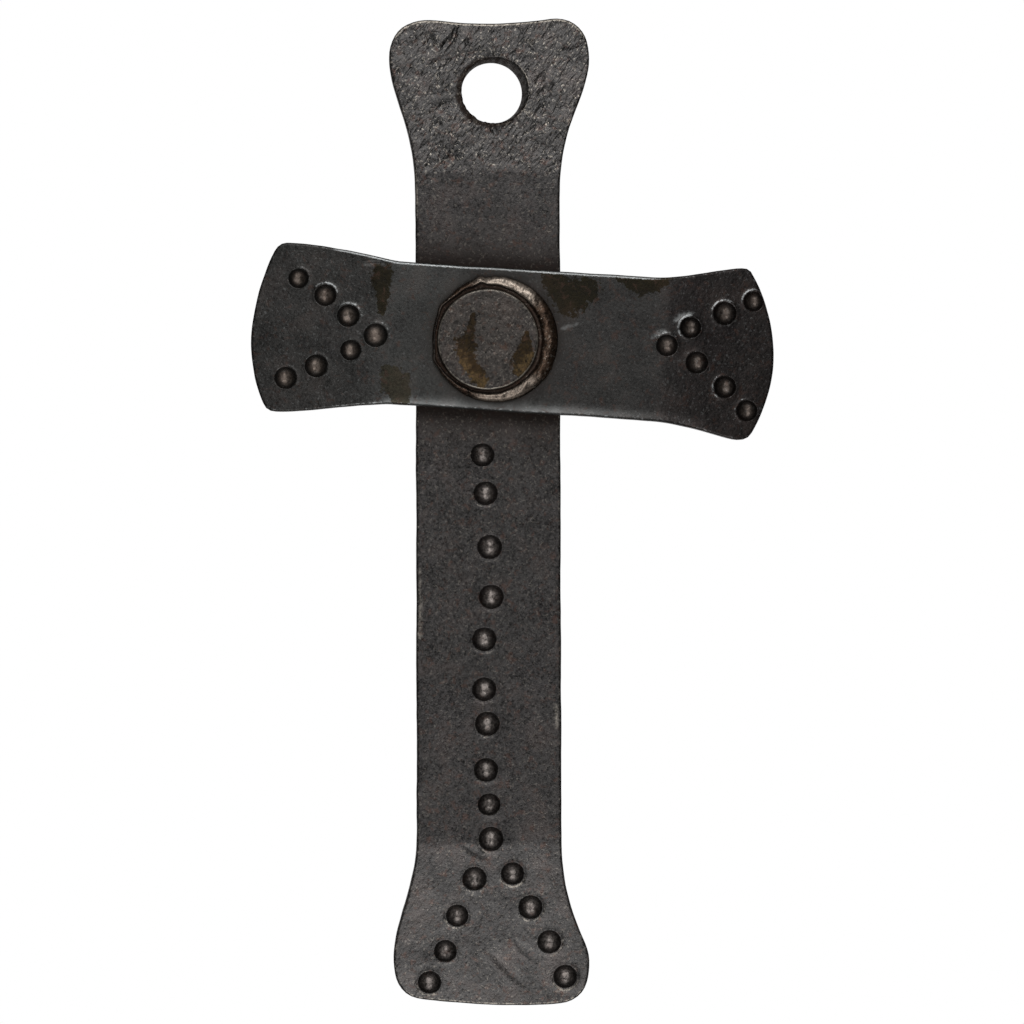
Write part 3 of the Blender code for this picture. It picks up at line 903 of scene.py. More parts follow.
class Crossbar(ForgedBar):
    """The short bar in front of the upright."""

    name = "forged_crossbar"
    node = "crossbar"
    slot = "crossbar_iron"
    low_end = SpreadEnd(
        heading=-1, reach=42.6, centre_line=0.0, tip_shift=-1.9, spread_length=25.5, draw_length=21.5,
        low=Flank(flare=2.0, widest=5.0, corner=2.0, bow=2.4, neck_ease=0.20, widest_ease=0.20, waist=0.5),
        high=Flank(flare=2.2, widest=5.7, corner=2.8, bow=2.7, neck_ease=0.10, widest_ease=0.50),
    )
    high_end = SpreadEnd(
        heading=1, reach=49.0, centre_line=0.0, tip_shift=-1.4, spread_length=21.5, draw_length=19.0,
        low=Flank(flare=2.4, widest=5.6, corner=2.0, bow=2.8, neck_ease=0.45, widest_ease=0.15, waist=0.1),
        high=Flank(flare=2.3, widest=6.1, corner=1.7, bow=4.1, neck_ease=0.30, widest_ease=0.20, waist=0.2),
    )

    fade = 10.0

    LEFT_LOWER_BLOWS = ((0.29, 0.5, 1.8), (0.67, 0.4, 2.0), (1.0, 0.0, 1.95))
    LEFT_UPPER_BLOWS = ((0.0, 0.0, 2.1), (0.35, 0.1, 1.95), (0.67, -0.4, 1.9), (1.0, 0.0, 1.75))
    RIGHT_LOWER_BLOWS = ((0.33, 1.0, 1.95), (0.69, 0.8, 1.95), (1.0, 0.0, 1.85))
    RIGHT_UPPER_BLOWS = ((0.0, 0.0, 1.9), (0.30, 0.9, 1.85), (0.68, 0.4, 2.05), (1.0, 0.0, 1.75))

    # Old oily stains beside the rivet and on the left arm, and rubs by the marks
    STAINS = (
        Stain(((-20.4, 10.2, 2.0), (-20.0, 3.6, 0.7))),
        Stain(((-18.4, -6.8, 1.6), (-17.0, -8.6, 2.8), (-15.8, -11.0, 2.0))),
        Stain(((9.6, 10.6, 2.2), (12.8, 8.2, 3.6), (15.4, 9.6, 2.6))),
        Stain(((21.8, 12.4, 1.4), (25.0, 11.6, 2.9), (28.4, 12.2, 2.0))),
    )
    RUBS = (
        Stain(((27.4, 2.0, 0.30), (28.4, 2.9, 0.50), (29.8, 3.2, 0.30))),
        Stain(((31.2, 5.0, 0.30), (32.3, 6.2, 0.50), (34.2, 6.6, 0.30))),
        Stain(((11.6, 2.6, 0.30), (14.2, 3.4, 0.25))),
    )
    SWELLS = (Swell(size=13.0, height=0.05, layer=51.0), Swell(size=4.0, height=0.025, layer=53.0),
              Swell(size=0.9, height=0.006, layer=57.0))
    ENDS = (Swell(size=3.2, height=0.04, layer=61.0),)
    FACE_SIZE = 7.0
    WRINKLE_SIZE = 1.3

    FINE_ENDS = (-19.0, 28.0)

    # Where the lower edge starts to roll over, and how fast
    ROLL_START = -10.3
    ROLL = 0.075

    DENTS = (
        Dent(24.5, 11.5, 1.6, 0.14, 0.10, 1.35),
        Dent(12.0, 3.5, 2.4, 0.16, 0.06, 0.5),
        Dent(-22.0, 12.2, 2.2, 0.5, 0.12, 0.1),
    )

    def marks(self) -> list[Mark]:
        """A chevron of seven marks on each end."""
        left, right = self.low_end, self.high_end
        left_apex, right_apex = left.place(21.7, -0.4), right.place(18.9, 0.7)
        marks = marks_in_row(left_apex, left.place(6.4, -8.7), self.LEFT_LOWER_BLOWS, math.radians(60), 0.05)
        marks += marks_in_row(left_apex, left.place(7.7, 8.8), self.LEFT_UPPER_BLOWS, math.radians(60), 0.11)
        marks += marks_in_row(right_apex, right.place(4.2, -9.9), self.RIGHT_LOWER_BLOWS,
                              math.radians(165), 0.09)
        marks += marks_in_row(right_apex, right.place(4.1, 9.3), self.RIGHT_UPPER_BLOWS,
                              math.radians(130), 0.14)
        return marks

    def holes(self) -> list[Hole]:
        """The rivet's bore."""
        return [self.bore(0.0, 0.0, ((BORE_RADIUS, 0.0), (BORE_RADIUS + 0.5, 0.0)))]

    def relief(self, along: float, across: float) -> float:
        """A smooth middle with long swells, and softly hammered ends."""
        ends = swells(along, across, self.ENDS)
        ends += 0.05 * (hammered(along, across, self.FACE_SIZE, 63.0) - 0.3)
        ends += 0.014 * (creased(along, across, self.WRINKLE_SIZE, 67.0) - 0.5)
        dents = sum(dent.height(along, across) for dent in self.DENTS)
        lower_edge = ramp(along, -22.0, -16.0) * ramp(along, 38.0, 32.0)
        rolled = self.ROLL * max(self.ROLL_START - across, 0.0) ** 2 * lower_edge
        return swells(along, across, self.SWELLS) + self.beaten(along, across) * ends + dents - rolled

    def grime_and_shade(self, along: float, across: float) -> float:
        """Painted shade round the foot of the rivet's head."""
        return math.exp(-max(math.hypot(along, across) - BEAD_RADIUS, 0.0) / 1.2)

    def coarse(self, along: float, across: float) -> float:
        """A smooth middle and finely grained ends."""
        return 0.02 + 0.16 * self.beaten(along, across)

    def shade(self, along: float, across: float) -> float:
        """Lightest on the left, and darkest on the right end: painted shade towards the right, and on the
        ends partly darker scale, partly painted shade.
        """
        right = ramp(along, -4.0, 10.0)
        return 0.4 * right + self.beaten(along, across) * (0.35 + 0.25 * right)

    def pale(self, along: float, across: float) -> float:
        """Rubs by the marks, and a soft pale band above the lower edge that fades to the right, a painted
        reflection of the light below.
        """
        # A painted reflection of the light below, in a soft pale band above the lower edge
        band = ramp(across, -9.8, -12.0) * ramp(along, -22.0, -17.0) * ramp(along, 31.0, 5.0)
        band *= 0.14 * (1 + 0.5 * rough(along, across, 2.0, 97.0))
        return max(band, super().pale(along, across))

    def bowl_highlight(self, along: float) -> float:
        """A weaker painted highlight in the bowls on the right end."""
        return 1 - 0.4 * ramp(along, 20.0, 28.0)

    def edge_rub_and_highlight(self, along: float, across: float) -> float:
        """A painted highlight along the top edge, and little abrasion below and on the ends."""
        line = ramp(along, -30.0, -27.0) * ramp(along, 29.0, 25.0)
        return 0.40 + (0.60 if across > 0 else 0.12) * line

    def placing(self) -> Matrix:
        """On the front of the upright at the crossing, tilted down to the right."""
        seat = Vector((CROSSING.x, -(BAR_THICKNESS + FIT_GAP), CROSSING.y)) * MM
        return Matrix.Translation(seat) @ Matrix.Rotation(CROSSBAR_TILT, 4, "Y") @ facing_front()


@dataclass
class Rivet:
    """The rivet: a tail hammered flush at the back, and a beaded ring round a flat disc in front."""

    name: str = "forged_rivet"
    node: str = "rivet"
    slot: str = "rivet_iron"
    bead_radius: float = BEAD_RADIUS
    bead_height: float = 1.3
    groove_width: float = 0.65
    groove_floor: float = 0.5
    groove_shift: float = -1.1
    disc_radius: float = 8.8
    disc_height: float = 1.9
    disc_bevel: float = 0.3
    disc_shift: float = -1.3
    sides: int = 160

    STAINS = (
        Stain(((-3.8, 4.2, 0.5), (-4.4, 1.4, 0.9), (-5.2, -0.9, 2.1), (-5.0, -3.6, 1.6), (-2.6, -7.2, 1.5))),
        Stain(((5.5, 1.2, 0.4), (5.2, -1.8, 1.5), (4.8, -3.6, 2.2), (4.0, -5.6, 1.1))),
    )

    GOLDEN = (
        Stain(((-6.4, -3.2, 1.2), (-5.0, -5.6, 1.4), (-1.8, -8.0, 1.3))),
        Stain(((6.3, -3.4, 0.9), (4.6, -5.4, 1.3))),
    )

    DISC_SWELLS = (Swell(size=3.2, height=0.05, layer=77.0), Swell(size=1.1, height=0.03, layer=79.0))

    # Lumps that the hammer left on the bead: the direction from the shank and the half width, in radians
    LUMPS = ((2.58, 0.20), (-2.84, 0.24), (1.82, 0.14))

    @property
    def seat(self) -> float:
        """The crossbar's front, above the cross's back."""
        return 2 * BAR_THICKNESS + FIT_GAP

    def stations(self) -> list[tuple[float, float, float]]:
        """The rivet's profile.

        Returns:
            (shift of the centre, height, radius) of each ring, from the tail to the disc's middle.
        """
        seat = self.seat
        rings = [(0.0, 0.0, TAIL_RADIUS * (0.1 + 0.085 * step)) for step in range(11)]
        rings += [(0.0, 0.12, TAIL_RADIUS), (0.0, 0.9, 5.75), (0.0, TAIL_DEPTH, SHANK_RADIUS)]
        under_head = 0.95 * (self.bead_radius - SHANK_RADIUS)
        rings += [(0.0, seat + FIT_GAP / 2, SHANK_RADIUS + under_head * step / 4) for step in range(5)]
        bead_steps = 18
        for step in range(bead_steps + 1):
            turn = math.pi * step / bead_steps
            inward = ((1 - math.cos(turn)) / 2) ** 0.65
            foot = FIT_GAP / 2 + (self.groove_floor - FIT_GAP / 2) * inward
            height = foot + (self.bead_height - foot) * max(math.sin(turn), 0.0) ** 0.6
            inner = self.disc_radius + self.groove_width
            radius = self.bead_radius + (inner - self.bead_radius) * inward
            rings.append((self.groove_shift * inward, seat + height, radius))
        wall = self.disc_height - self.disc_bevel - self.groove_floor
        rings += [(self.disc_shift, seat + self.groove_floor, self.disc_radius + 0.15)]
        rings += [(self.disc_shift, seat + self.groove_floor + wall * step / 3, self.disc_radius)
                  for step in range(1, 4)]
        for step in range(1, 4):
            turn = math.radians(90) * step / 3
            rings.append((self.disc_shift, seat + self.disc_height - self.disc_bevel * (1 - math.sin(turn)),
                          self.disc_radius - self.disc_bevel * (1 - math.cos(turn))))
        flat = self.disc_radius - self.disc_bevel
        steps = 26
        rings += [(self.disc_shift, seat + self.disc_height, flat * (1 - step / steps))
                  for step in range(1, steps)]
        return rings

    def turned(self) -> bmesh.types.BMesh:
        """Turn the profile into a closed mesh, ring by ring."""
        bm = bmesh.new()
        stations = self.stations()
        bmesh.ops.create_circle(bm, cap_ends=True, cap_tris=True, segments=self.sides, radius=stations[0][2])
        rim = [edge for edge in bm.edges if edge.is_boundary]
        middle = Vector((0.0, 0.0))
        for shift, height, radius in stations[1:]:
            rim, verts = pull_rim(bm, rim)
            new_middle = Vector((shift, 0.0))
            for vert in verts:
                place = new_middle + (vert.co.to_2d() - middle).normalized() * radius
                vert.co = (place.x, place.y, height)
            middle = new_middle
        cap = bmesh.ops.contextual_create(bm, geom=rim)["faces"]
        bmesh.ops.poke(bm, faces=cap)
        return bm

    def forge(self, bm: bmesh.types.BMesh) -> None:
        """Hammer the head and the tail, and note how each place looks."""
        layers = {name: bm.verts.layers.float.new(name) for name in ZONES}
        for vert in bm.verts:
            x, y, height = vert.co
            above = height - self.seat
            turn = math.atan2(y, x)
            from_shank = math.hypot(x, y)
            from_disc = math.hypot(x - self.disc_shift, y)
            lift, push = 0.0, 0.0
            lump = max(hump(turn, at, half) for at, half in self.LUMPS)
            if above > FIT_GAP and from_disc > self.disc_radius + 0.05:
                wave = rough(math.cos(turn), math.sin(turn), 0.35, 71.0)
                ripple = rough(x, y, 1.4, 73.0)
                grain = rough(x, y, 0.5, 75.0)
                share = ramp(above, 0.0, self.bead_height)
                lift = (0.14 * wave + 0.16 * ripple + 0.05 * grain + 0.25 * lump) * share
                push = 0.22 * wave + 0.12 * ripple + 0.40 * lump + 0.15 * hump(turn, 1.6, 1.0)
            elif above > FIT_GAP:
                faces = 0.05 * (hammered(x, y, 4.0, 83.0) - 0.3)
                lift = ramp(above, 1.2, 1.8) * (swells(x, y, self.DISC_SWELLS) + faces)
                push = 0.05 * rough(math.cos(turn), math.sin(turn), 0.3, 85.0)
            elif height < FIT_GAP:
                lift = 0.08 + 0.07 * rough(x, y, 3.0, 87.0)
            if from_shank > 0.0:
                vert.co.x += push * x / from_shank
                vert.co.y += push * y / from_shank
            vert.co.z += lift
            off_disc = from_disc - self.disc_radius
            # A painted highlight along the disc's bevelled rim
            vert[layers[EDGE]] = hump(off_disc, -0.12, 0.3) * ramp(above, 1.2, 1.6)
            vert[layers[FLARE]] = ramp(off_disc, 0.55, 0.95)
            # The bowl colour here paints a highlight along the bead's crest, strongest above and weaker
            # below, and lightens the hammer's lumps
            arc = abs(math.degrees(turn)) - 76.0
            lit = max((1.0 if turn > 0 else 0.5) * ramp(abs(arc), 40.0, 22.0), 0.25 * lump)
            crest = ramp(above - 0.42 * self.bead_height, 0.0, 0.5)
            vert[layers[BOWL]] = crest * vert[layers[FLARE]] * lit
            vert[layers[STAIN]] = stained(x, y, self.STAINS) * ramp(above, 1.5, 1.8)
            vert[layers[GOLD]] = stained(x, y, self.GOLDEN)
            # Dark brown in the groove between the bead and the disc: painted shade on the oxide
            vert[layers[GRIME_AND_SHADE]] = hump(off_disc, 0.3, 0.62) * ramp(above, 1.4, 0.4)
            vert[layers[COARSE]] = 0.2 + 0.3 * vert[layers[FLARE]]

    def build(self) -> bpy.types.Object:
        """Make the rivet and place it at the crossing."""
        bm = self.turned()
        self.forge(bm)
        seat = Vector((CROSSING.x, 0.0, CROSSING.y)) * MM
        return write_piece(self.name, bm, Matrix.Translation(seat) @ facing_front())


Value = float | tuple | bpy.types.NodeSocket


class Wiring:
    """Adds and links the nodes of one tree."""

    def __init__(self, tree: bpy.types.NodeTree) -> None:
        """Work on a tree."""
        self.tree = tree

    def node(self, kind: str, inputs: dict[str | int, Value] | None = None, **settings) -> bpy.types.Node:
        """Add a node.

        Args:
            kind: the node's type.
            inputs: values or sockets for its inputs, by name or number.
            **settings: its other settings.

        Returns:
            The node.
        """
        made = self.tree.nodes.new(kind)
        for key, value in settings.items():
            setattr(made, key, value)
        for key, value in (inputs or {}).items():
            if isinstance(value, bpy.types.NodeSocket):
                self.tree.links.new(value, made.inputs[key])
            else:
                made.inputs[key].default_value = value
        return made

    def maths(self, operation: str, *values: Value, clamp: bool = False) -> bpy.types.NodeSocket:
        """The result of a Math node."""
        return self.node("ShaderNodeMath", dict(enumerate(values)), operation=operation,
                         use_clamp=clamp).outputs[0]

    def times(self, *values: Value) -> bpy.types.NodeSocket:
        """The product of values."""
        return reduce(partial(self.maths, "MULTIPLY"), values)

    def plus(self, *values: Value) -> bpy.types.NodeSocket:
        """The sum of values."""
        return reduce(partial(self.maths, "ADD"), values)

    def swing(self, pattern: Value, share: Value) -> bpy.types.NodeSocket:
        """How far a pattern is off its middle, 0.5, times a share."""
        return self.times(self.maths("SUBTRACT", pattern, 0.5), share)

    def between(self, value: Value, low: float, high: float) -> bpy.types.NodeSocket:
        """0 below low, 1 above high, and a smooth rise between."""
        return self.node("ShaderNodeMapRange", {"Value": value, "From Min": low, "From Max": high},
                         interpolation_type="SMOOTHSTEP").outputs[0]

    def blend(self, share: Value, first: Value, second: Value) -> bpy.types.NodeSocket:
        """A colour between two."""
        return self.node("ShaderNodeMix", {0: share, 6: first, 7: second}, data_type="RGBA").outputs[2]

    def bumps(self, place: Value, size: float, detail: float = 2.0, roughness: float = 0.6,
              warp: float = 0.0) -> bpy.types.NodeSocket:
        """Noise with bumps of a size in millimetres."""
        return self.node("ShaderNodeTexNoise", {"Vector": place, "Scale": 1 / size, "Detail": detail,
                                                "Roughness": roughness, "Distortion": warp}).outputs[0]

    def zone(self, name: str) -> bpy.types.NodeSocket:
        """The value of one of the mesh's attributes."""
        return self.node("ShaderNodeAttribute", attribute_name=name).outputs["Fac"]

    def deliver(self, *results: bpy.types.NodeSocket) -> None:
        """Link a group's results to its outputs, in order."""
        for result, socket in zip(results, self.tree.nodes["Group Output"].inputs):
            self.tree.links.new(result, socket)


def new_group(name: str, inputs: Iterable[str], outputs: Iterable[str]) -> bpy.types.NodeTree:
    """Start a shader node group that reads a Place in millimetres.

    Args:
        name: the group's name.
        inputs: the names of its values, after the Place.
        outputs: the names of its results.

    Returns:
        The group's tree, with its input and output nodes.
    """
    tree = bpy.data.node_groups.new(name, "ShaderNodeTree")
    tree.interface.new_socket("Place", in_out="INPUT", socket_type="NodeSocketVector")
    for direction, labels in (("INPUT", inputs), ("OUTPUT", outputs)):
        for label in labels:
            tree.interface.new_socket(label, in_out=direction, socket_type="NodeSocketFloat")
    tree.nodes.new("NodeGroupInput")
    tree.nodes.new("NodeGroupOutput")
    return tree


def forged_skin_group() -> bpy.types.NodeTree:
    """Make the group that gives the oxide skin's grain, blotches, painted glints and height; its grain
    paints shade into the creases.

    Returns:
        The node group.
    """
    tree = new_group("forged_skin", ("Coarseness",), ("Grain", "Blotch", "Glint", "Rust", "Height"))
    wiring = Wiring(tree)
    place, coarseness = tree.nodes["Group Input"].outputs[:2]

    fine = wiring.bumps(place, 0.50, 1.0, 0.5)
    specks = wiring.bumps(place, 0.27, 0.0)
    slanted = wiring.node("ShaderNodeMapping", {"Vector": place, "Rotation": (0.0, 0.61, 0.0),
                                                "Scale": (1.0, 1.0, 3.0)}, vector_type="TEXTURE").outputs[0]
    wrinkle = wiring.bumps(slanted, 0.62, 1.2, 0.5, 0.5)
    blotch = wiring.bumps(place, 5.5, 3.0, 0.6, 0.3)
    grain = wiring.plus(wiring.times(fine, 0.6), wiring.times(specks, 0.4))
    # The creases go into the grain as well as the height, so the colour is painted darker in them: painted
    # shade
    creases = wiring.swing(wrinkle, coarseness)
    skin = wiring.times(grain, wiring.plus(wiring.times(coarseness, 0.25), 0.3))
    height = wiring.plus(skin, wiring.times(creases, 2.1))
    # Pale specks: painted glints
    glint = wiring.between(wiring.bumps(place, 0.45, 1.5, 0.6, 0.6), 0.58, 0.70)
    spots = wiring.between(wiring.bumps(place, 1.3, 3.0, 0.65, 0.5), 0.54, 0.70)
    rust = wiring.maths("MAXIMUM", spots, wiring.times(wiring.between(blotch, 0.50, 0.68), 0.25))
    wiring.deliver(wiring.plus(grain, creases), blotch, glint, rust, height)
    return tree


def stain_group() -> bpy.types.NodeTree:
    """Make the group that turns a soft stain attribute into a ragged stain.

    Returns:
        The node group: Stain is where it is, and Glow is its golden parts.
    """
    tree = new_group("ragged_stain", ("Strength", "Gold"), ("Stain", "Glow"))
    wiring = Wiring(tree)
    place, strength, gold = tree.nodes["Group Input"].outputs[:3]
    ragged = wiring.plus(strength, wiring.swing(wiring.bumps(place, 0.8, 3.0, 0.65, 0.3), 0.9))
    patchy = wiring.plus(gold, wiring.swing(wiring.bumps(place, 1.1, 3.0, 0.65), 2.2))
    wiring.deliver(wiring.between(ragged, 0.51, 0.59), wiring.between(patchy, 0.30, 0.95))
    return tree


@dataclass(frozen=True)
class IronFinish:
    """Forged iron under a dark oxide skin, from the plain middle to the beaten ends."""

    name: str
    plain: tuple[float, float, float]
    beaten: tuple[float, float, float]
    # The dark tint serves for soiling and for painted shade
    grime_and_shade: tuple[float, float, float]
    rust: tuple[float, float, float]
    stain: tuple[float, float, float]
    glow: tuple[float, float, float]
    # The bowl colour: the marks' lighter middles, partly burnished metal and partly a painted highlight, and
    # the rivet bead's painted crest highlight
    bowl: tuple[float, float, float]
    contrast: float
    grime_and_shade_share: float
    rust_share: float
    glint_share: float
    edge_share: float
    bowl_share: float
    roughness: float
    relief: float
    # The pale tint: abraded metal, painted highlights, painted glints and a painted reflection
    pale_wear_and_highlight: tuple[float, float, float] = (0.26, 0.235, 0.20)
    bowl_dulling: float = 0.03
    metallic: float = 0.85

    def make(self, skin: bpy.types.NodeTree, ragged: bpy.types.NodeTree) -> bpy.types.Material:
        """Build the material.

        Args:
            skin: the group for the oxide skin.
            ragged: the group for the stains.

        Returns:
            The material.
        """
        material = bpy.data.materials.new(self.name)
        material.use_nodes = True
        wiring = Wiring(material.node_tree)
        shader = material.node_tree.nodes["Principled BSDF"]
        place = wiring.node("ShaderNodeMapping", {
            "Vector": wiring.node("ShaderNodeTexCoord").outputs["Object"],
            "Scale": (1 / MM, 1 / MM, 1 / MM)}).outputs[0]
        oxide = wiring.node("ShaderNodeGroup", {"Place": place, "Coarseness": wiring.zone(COARSE)},
                            node_tree=skin)
        blot = wiring.node("ShaderNodeGroup", {"Place": place, "Strength": wiring.zone(STAIN),
                                               "Gold": wiring.zone(GOLD)}, node_tree=ragged)
        stain_colour = wiring.blend(blot.outputs["Glow"], (*self.stain, 1), (*self.glow, 1))
        colour = wiring.blend(wiring.zone(FLARE), (*self.plain, 1), (*self.beaten, 1))
        # The pale tint also paints the crossbar's pale band, a painted reflection of the light below
        colour = wiring.blend(wiring.zone(PALE), colour, (*self.pale_wear_and_highlight, 1))
        colour = wiring.blend(blot.outputs["Stain"], colour, stain_colour)
        # The bowl colour paints highlights in the marks and on the rivet's bead
        bowl = wiring.zone(BOWL)
        colour = wiring.blend(wiring.times(bowl, self.bowl_share), colour, (*self.bowl, 1))
        tone = wiring.plus(wiring.swing(oxide.outputs["Grain"], self.contrast),
                           wiring.swing(oxide.outputs["Blotch"], 1.5), 1.0)
        shaded = wiring.node("ShaderNodeVectorMath", {0: colour, "Scale": tone},
                             operation="SCALE").outputs[0]
        rust = wiring.times(oxide.outputs["Rust"], self.rust_share)
        # The dark tint: soiling and painted shade
        dirt_and_shade = wiring.times(wiring.zone(GRIME_AND_SHADE), self.grime_and_shade_share)
        # The edge tint: abraded metal and painted highlights
        broken = wiring.plus(wiring.zone(EDGE), wiring.swing(wiring.bumps(place, 0.5, 1.0), 1.1))
        wear_and_highlight = wiring.times(wiring.between(broken, 0.45, 0.80), self.edge_share)
        scaly = wiring.times(wiring.plus(wiring.zone(COARSE), 0.2), self.glint_share)
        clean = wiring.maths("SUBTRACT", 1.0, blot.outputs["Stain"])
        # Painted glints
        glints = wiring.times(oxide.outputs["Glint"], scaly, clean)
        for share, tint in ((rust, self.rust), (dirt_and_shade, self.grime_and_shade), (wear_and_highlight, self.pale_wear_and_highlight),
                            (glints, self.pale_wear_and_highlight)):
            shaded = wiring.blend(share, shaded, (*tint, 1))
        links = material.node_tree.links
        links.new(shaded, shader.inputs["Base Color"])

        dull = wiring.plus(wiring.times(dirt_and_shade, 0.4), self.roughness,
                           wiring.swing(oxide.outputs["Grain"], 0.35))
        dulled = wiring.times(bowl, self.bowl_dulling)
        links.new(wiring.maths("ADD", dull, dulled, clamp=True), shader.inputs["Roughness"])
        shader.inputs["Metallic"].default_value = self.metallic
        bump = wiring.node("ShaderNodeBump", {"Height": oxide.outputs["Height"], "Strength": 1.0,
                                              "Distance": self.relief * MM})
        links.new(bump.outputs[0], shader.inputs["Normal"])
        return material


# The upright's beaten ends are lighter: partly coarser scale, partly painted light for their tilt towards
# the lamps
UPRIGHT_FINISH = IronFinish(
    name="upright_oxide", plain=(0.0218, 0.0205, 0.0200), beaten=(0.0275, 0.0262, 0.0256),
    grime_and_shade=(0.014, 0.008, 0.0055), rust=(0.043, 0.023, 0.017), stain=(0.02, 0.017, 0.012),
    glow=(0.06, 0.035, 0.015), bowl=(0.105, 0.092, 0.085), contrast=3.2, grime_and_shade_share=0.75,
    rust_share=0.5, glint_share=0.40, edge_share=0.45, bowl_share=0.8, roughness=0.40, relief=0.12,
)
# The crossbar's beaten ends are darker: partly darker scale, partly painted shade for their tilt away from
# the lamps
CROSSBAR_FINISH = IronFinish(
    name="crossbar_oxide", plain=(0.0205, 0.0206, 0.0196), beaten=(0.0110, 0.0092, 0.0087),
    grime_and_shade=(0.012, 0.008, 0.006), pale_wear_and_highlight=(0.25, 0.26, 0.26), rust=(0.032, 0.016, 0.011),
    stain=(0.0046, 0.0032, 0.0002), glow=(0.0138, 0.0124, 0.0078), bowl=(0.090, 0.072, 0.060),
    contrast=1.6, grime_and_shade_share=0.5, rust_share=0.45, glint_share=0.25, edge_share=0.5, bowl_share=0.8,
    roughness=0.42, relief=0.09, bowl_dulling=0.05,
)
# The rivet's bowl colour is the bead crest's painted highlight
RIVET_FINISH = IronFinish(
    name="rivet_oxide", plain=(0.0250, 0.0220, 0.0200), beaten=(0.029, 0.0175, 0.011),
    grime_and_shade=(0.020, 0.008, 0.003), rust=(0.045, 0.024, 0.016), stain=(0.0090, 0.0048, 0.0004),
    glow=(0.039, 0.0245, 0.0092), bowl=(0.25, 0.21, 0.175), contrast=2.6, grime_and_shade_share=0.85,
    rust_share=0.5, glint_share=0.45, edge_share=0.6, bowl_share=0.9, roughness=0.42, relief=0.10,
)


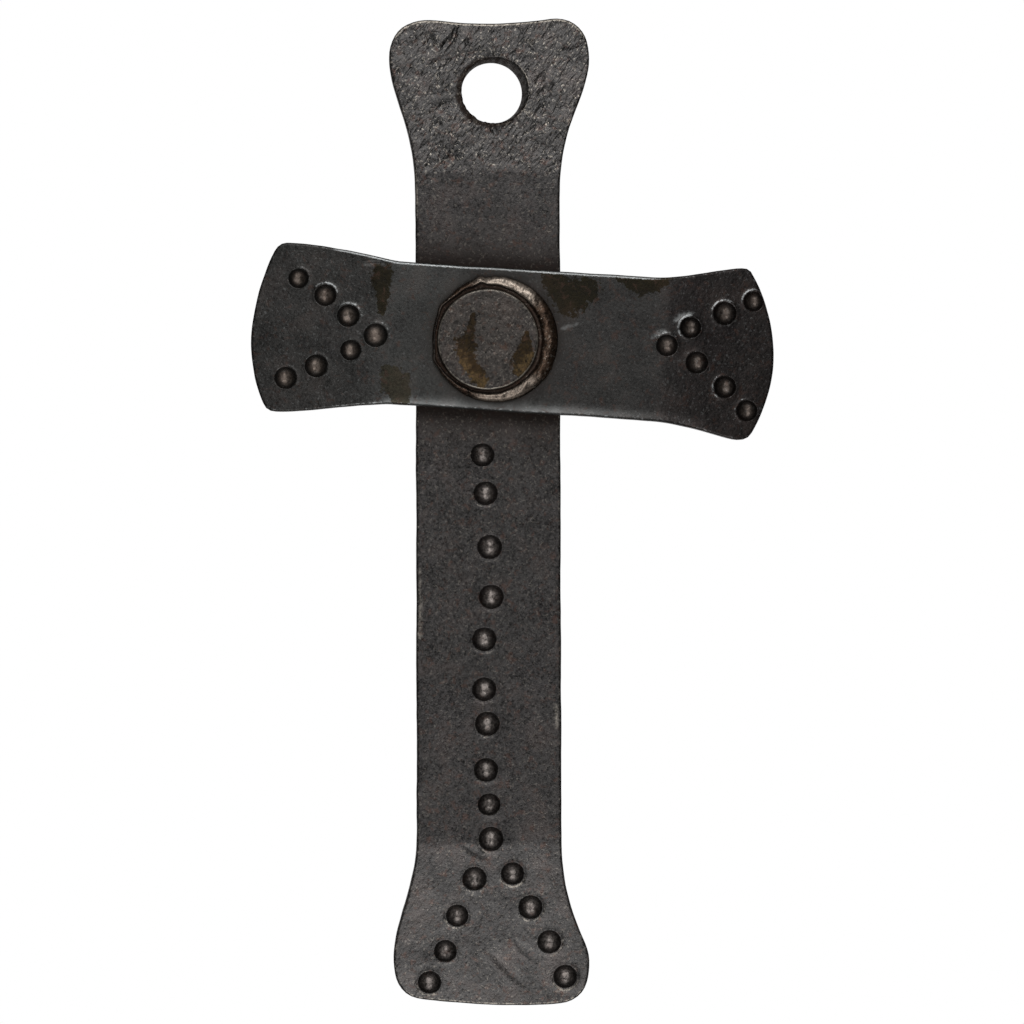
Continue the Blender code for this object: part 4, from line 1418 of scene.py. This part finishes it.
@dataclass
class Studio:
    """A plain white studio: a soft light above and one below, a pale floor and the camera.

    Sizes are in metres. The light above and the one below stand a little in front of the cross.
    """

    sight: Vector
    view_width: float = 0.18
    distance: float = 0.95
    yaw: float = math.radians(-1.5)
    floor_height: float = -0.80
    floor_radius: float = 0.6

    def camera(self) -> bpy.types.Object:
        """Set up the camera, level and nearly straight in front."""
        data = bpy.data.cameras.new("camera")
        data.sensor_width = 36.0
        data.lens = data.sensor_width * self.distance / self.view_width
        data.clip_start = 0.01
        camera = bpy.data.objects.new("camera", data)
        away = Vector((math.sin(self.yaw), -math.cos(self.yaw), 0.0))
        camera.location = self.sight + away * self.distance
        camera.rotation_euler = (math.radians(90), 0.0, self.yaw)
        bpy.context.scene.collection.objects.link(camera)
        bpy.context.scene.camera = camera
        return camera

    def soft_light(self, name: str, place: tuple[float, float, float], size: tuple[float, float],
                   power: float) -> bpy.types.Object:
        """Hang a soft box that faces the cross.

        Args:
            name: the light's name.
            place: where it hangs from the middle of the view, in metres.
            size: its width and height.
            power: its power in watts.

        Returns:
            The light.
        """
        data = bpy.data.lights.new(name, "AREA")
        data.shape = "RECTANGLE"
        data.size, data.size_y = size
        data.energy = power
        light = bpy.data.objects.new(name, data)
        offset = Vector(place)
        light.location = self.sight + offset
        light.rotation_euler = offset.to_track_quat("Z", "Y").to_euler()
        bpy.context.scene.collection.objects.link(light)
        return light

    def floor(self) -> bpy.types.Object:
        """Lay the pale floor well below the cross."""
        bm = bmesh.new()
        place = Matrix.Translation((0.0, 0.0, self.floor_height))
        bmesh.ops.create_circle(bm, cap_ends=True, segments=96, radius=self.floor_radius, matrix=place)
        mesh = bpy.data.meshes.new("floor")
        bm.to_mesh(mesh)
        bm.free()
        floor = bpy.data.objects.new("floor", mesh)
        material = bpy.data.materials.new("pale_floor")
        material.use_nodes = True
        material.node_tree.nodes["Principled BSDF"].inputs["Base Color"].default_value = (0.8, 0.8, 0.8, 1)
        material.node_tree.nodes["Principled BSDF"].inputs["Roughness"].default_value = 0.9
        mesh.materials.append(material)
        bpy.context.scene.collection.objects.link(floor)
        return floor

    def surroundings(self, brightness: float, behind: float) -> None:
        """Set a white background that lights the cross only dimly.

        Args:
            brightness: the dim light from all round.
            behind: the light that the backdrop adds from behind.
        """
        world = bpy.data.worlds.new("white_studio")
        world.use_nodes = True
        wiring = Wiring(world.node_tree)
        white = world.node_tree.nodes["Background"]
        white.inputs["Color"].default_value = (1.0, 1.0, 1.0, 1.0)
        heading = wiring.node("ShaderNodeSeparateXYZ", {
            0: wiring.node("ShaderNodeTexCoord").outputs["Generated"]}).outputs["Y"]
        glow = wiring.times(wiring.between(heading, -0.3, 0.7), behind)
        dim = wiring.node("ShaderNodeBackground", {"Color": (1.0, 0.99, 0.98, 1.0),
                                                   "Strength": wiring.plus(glow, brightness)})
        seen = wiring.node("ShaderNodeLightPath").outputs["Is Camera Ray"]
        mix = wiring.node("ShaderNodeMixShader", {0: seen, 1: dim.outputs[0], 2: white.outputs[0]})
        output = world.node_tree.nodes["World Output"]
        world.node_tree.links.new(mix.outputs[0], output.inputs["Surface"])
        bpy.context.scene.world = world
        bpy.context.scene.view_settings.view_transform = "Standard"

    def build(self) -> None:
        """Set up the whole studio."""
        self.camera()
        self.surroundings(0.03, 0.8)
        self.soft_light("light_above", (0.0, -0.70, 0.38), (0.18, 0.38), 4.0)
        self.soft_light("light_below", (0.0, -0.70, -0.38), (0.18, 0.38), 3.6)
        self.floor()


def dress(part: ForgedBar | Rivet, piece: bpy.types.Object, material: bpy.types.Material) -> None:
    """Give a piece its finish, hang it from the cross's root, and hide the imported part it stands for.

    Args:
        part: what the piece was built from.
        piece: the finished object.
        material: its finish.
    """
    piece.data.materials.append(material)
    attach(piece, "root")
    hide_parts(part.node)
    log.info("%s: %d faces", piece.name, len(piece.data.polygons))


def main() -> None:
    """Build the three pieces and the studio."""
    logging.basicConfig(level=logging.INFO, format="%(message)s")
    skin, ragged = forged_skin_group(), stain_group()
    for part, finish in ((UprightBar(), UPRIGHT_FINISH), (Crossbar(), CROSSBAR_FINISH),
                         (Rivet(), RIVET_FINISH)):
        dress(part, part.build(), finish.make(skin, ragged))
    Studio(sight=Vector((3.59, -4.8, -73.83)) * MM).build()


if __name__ == "__main__":
    main()
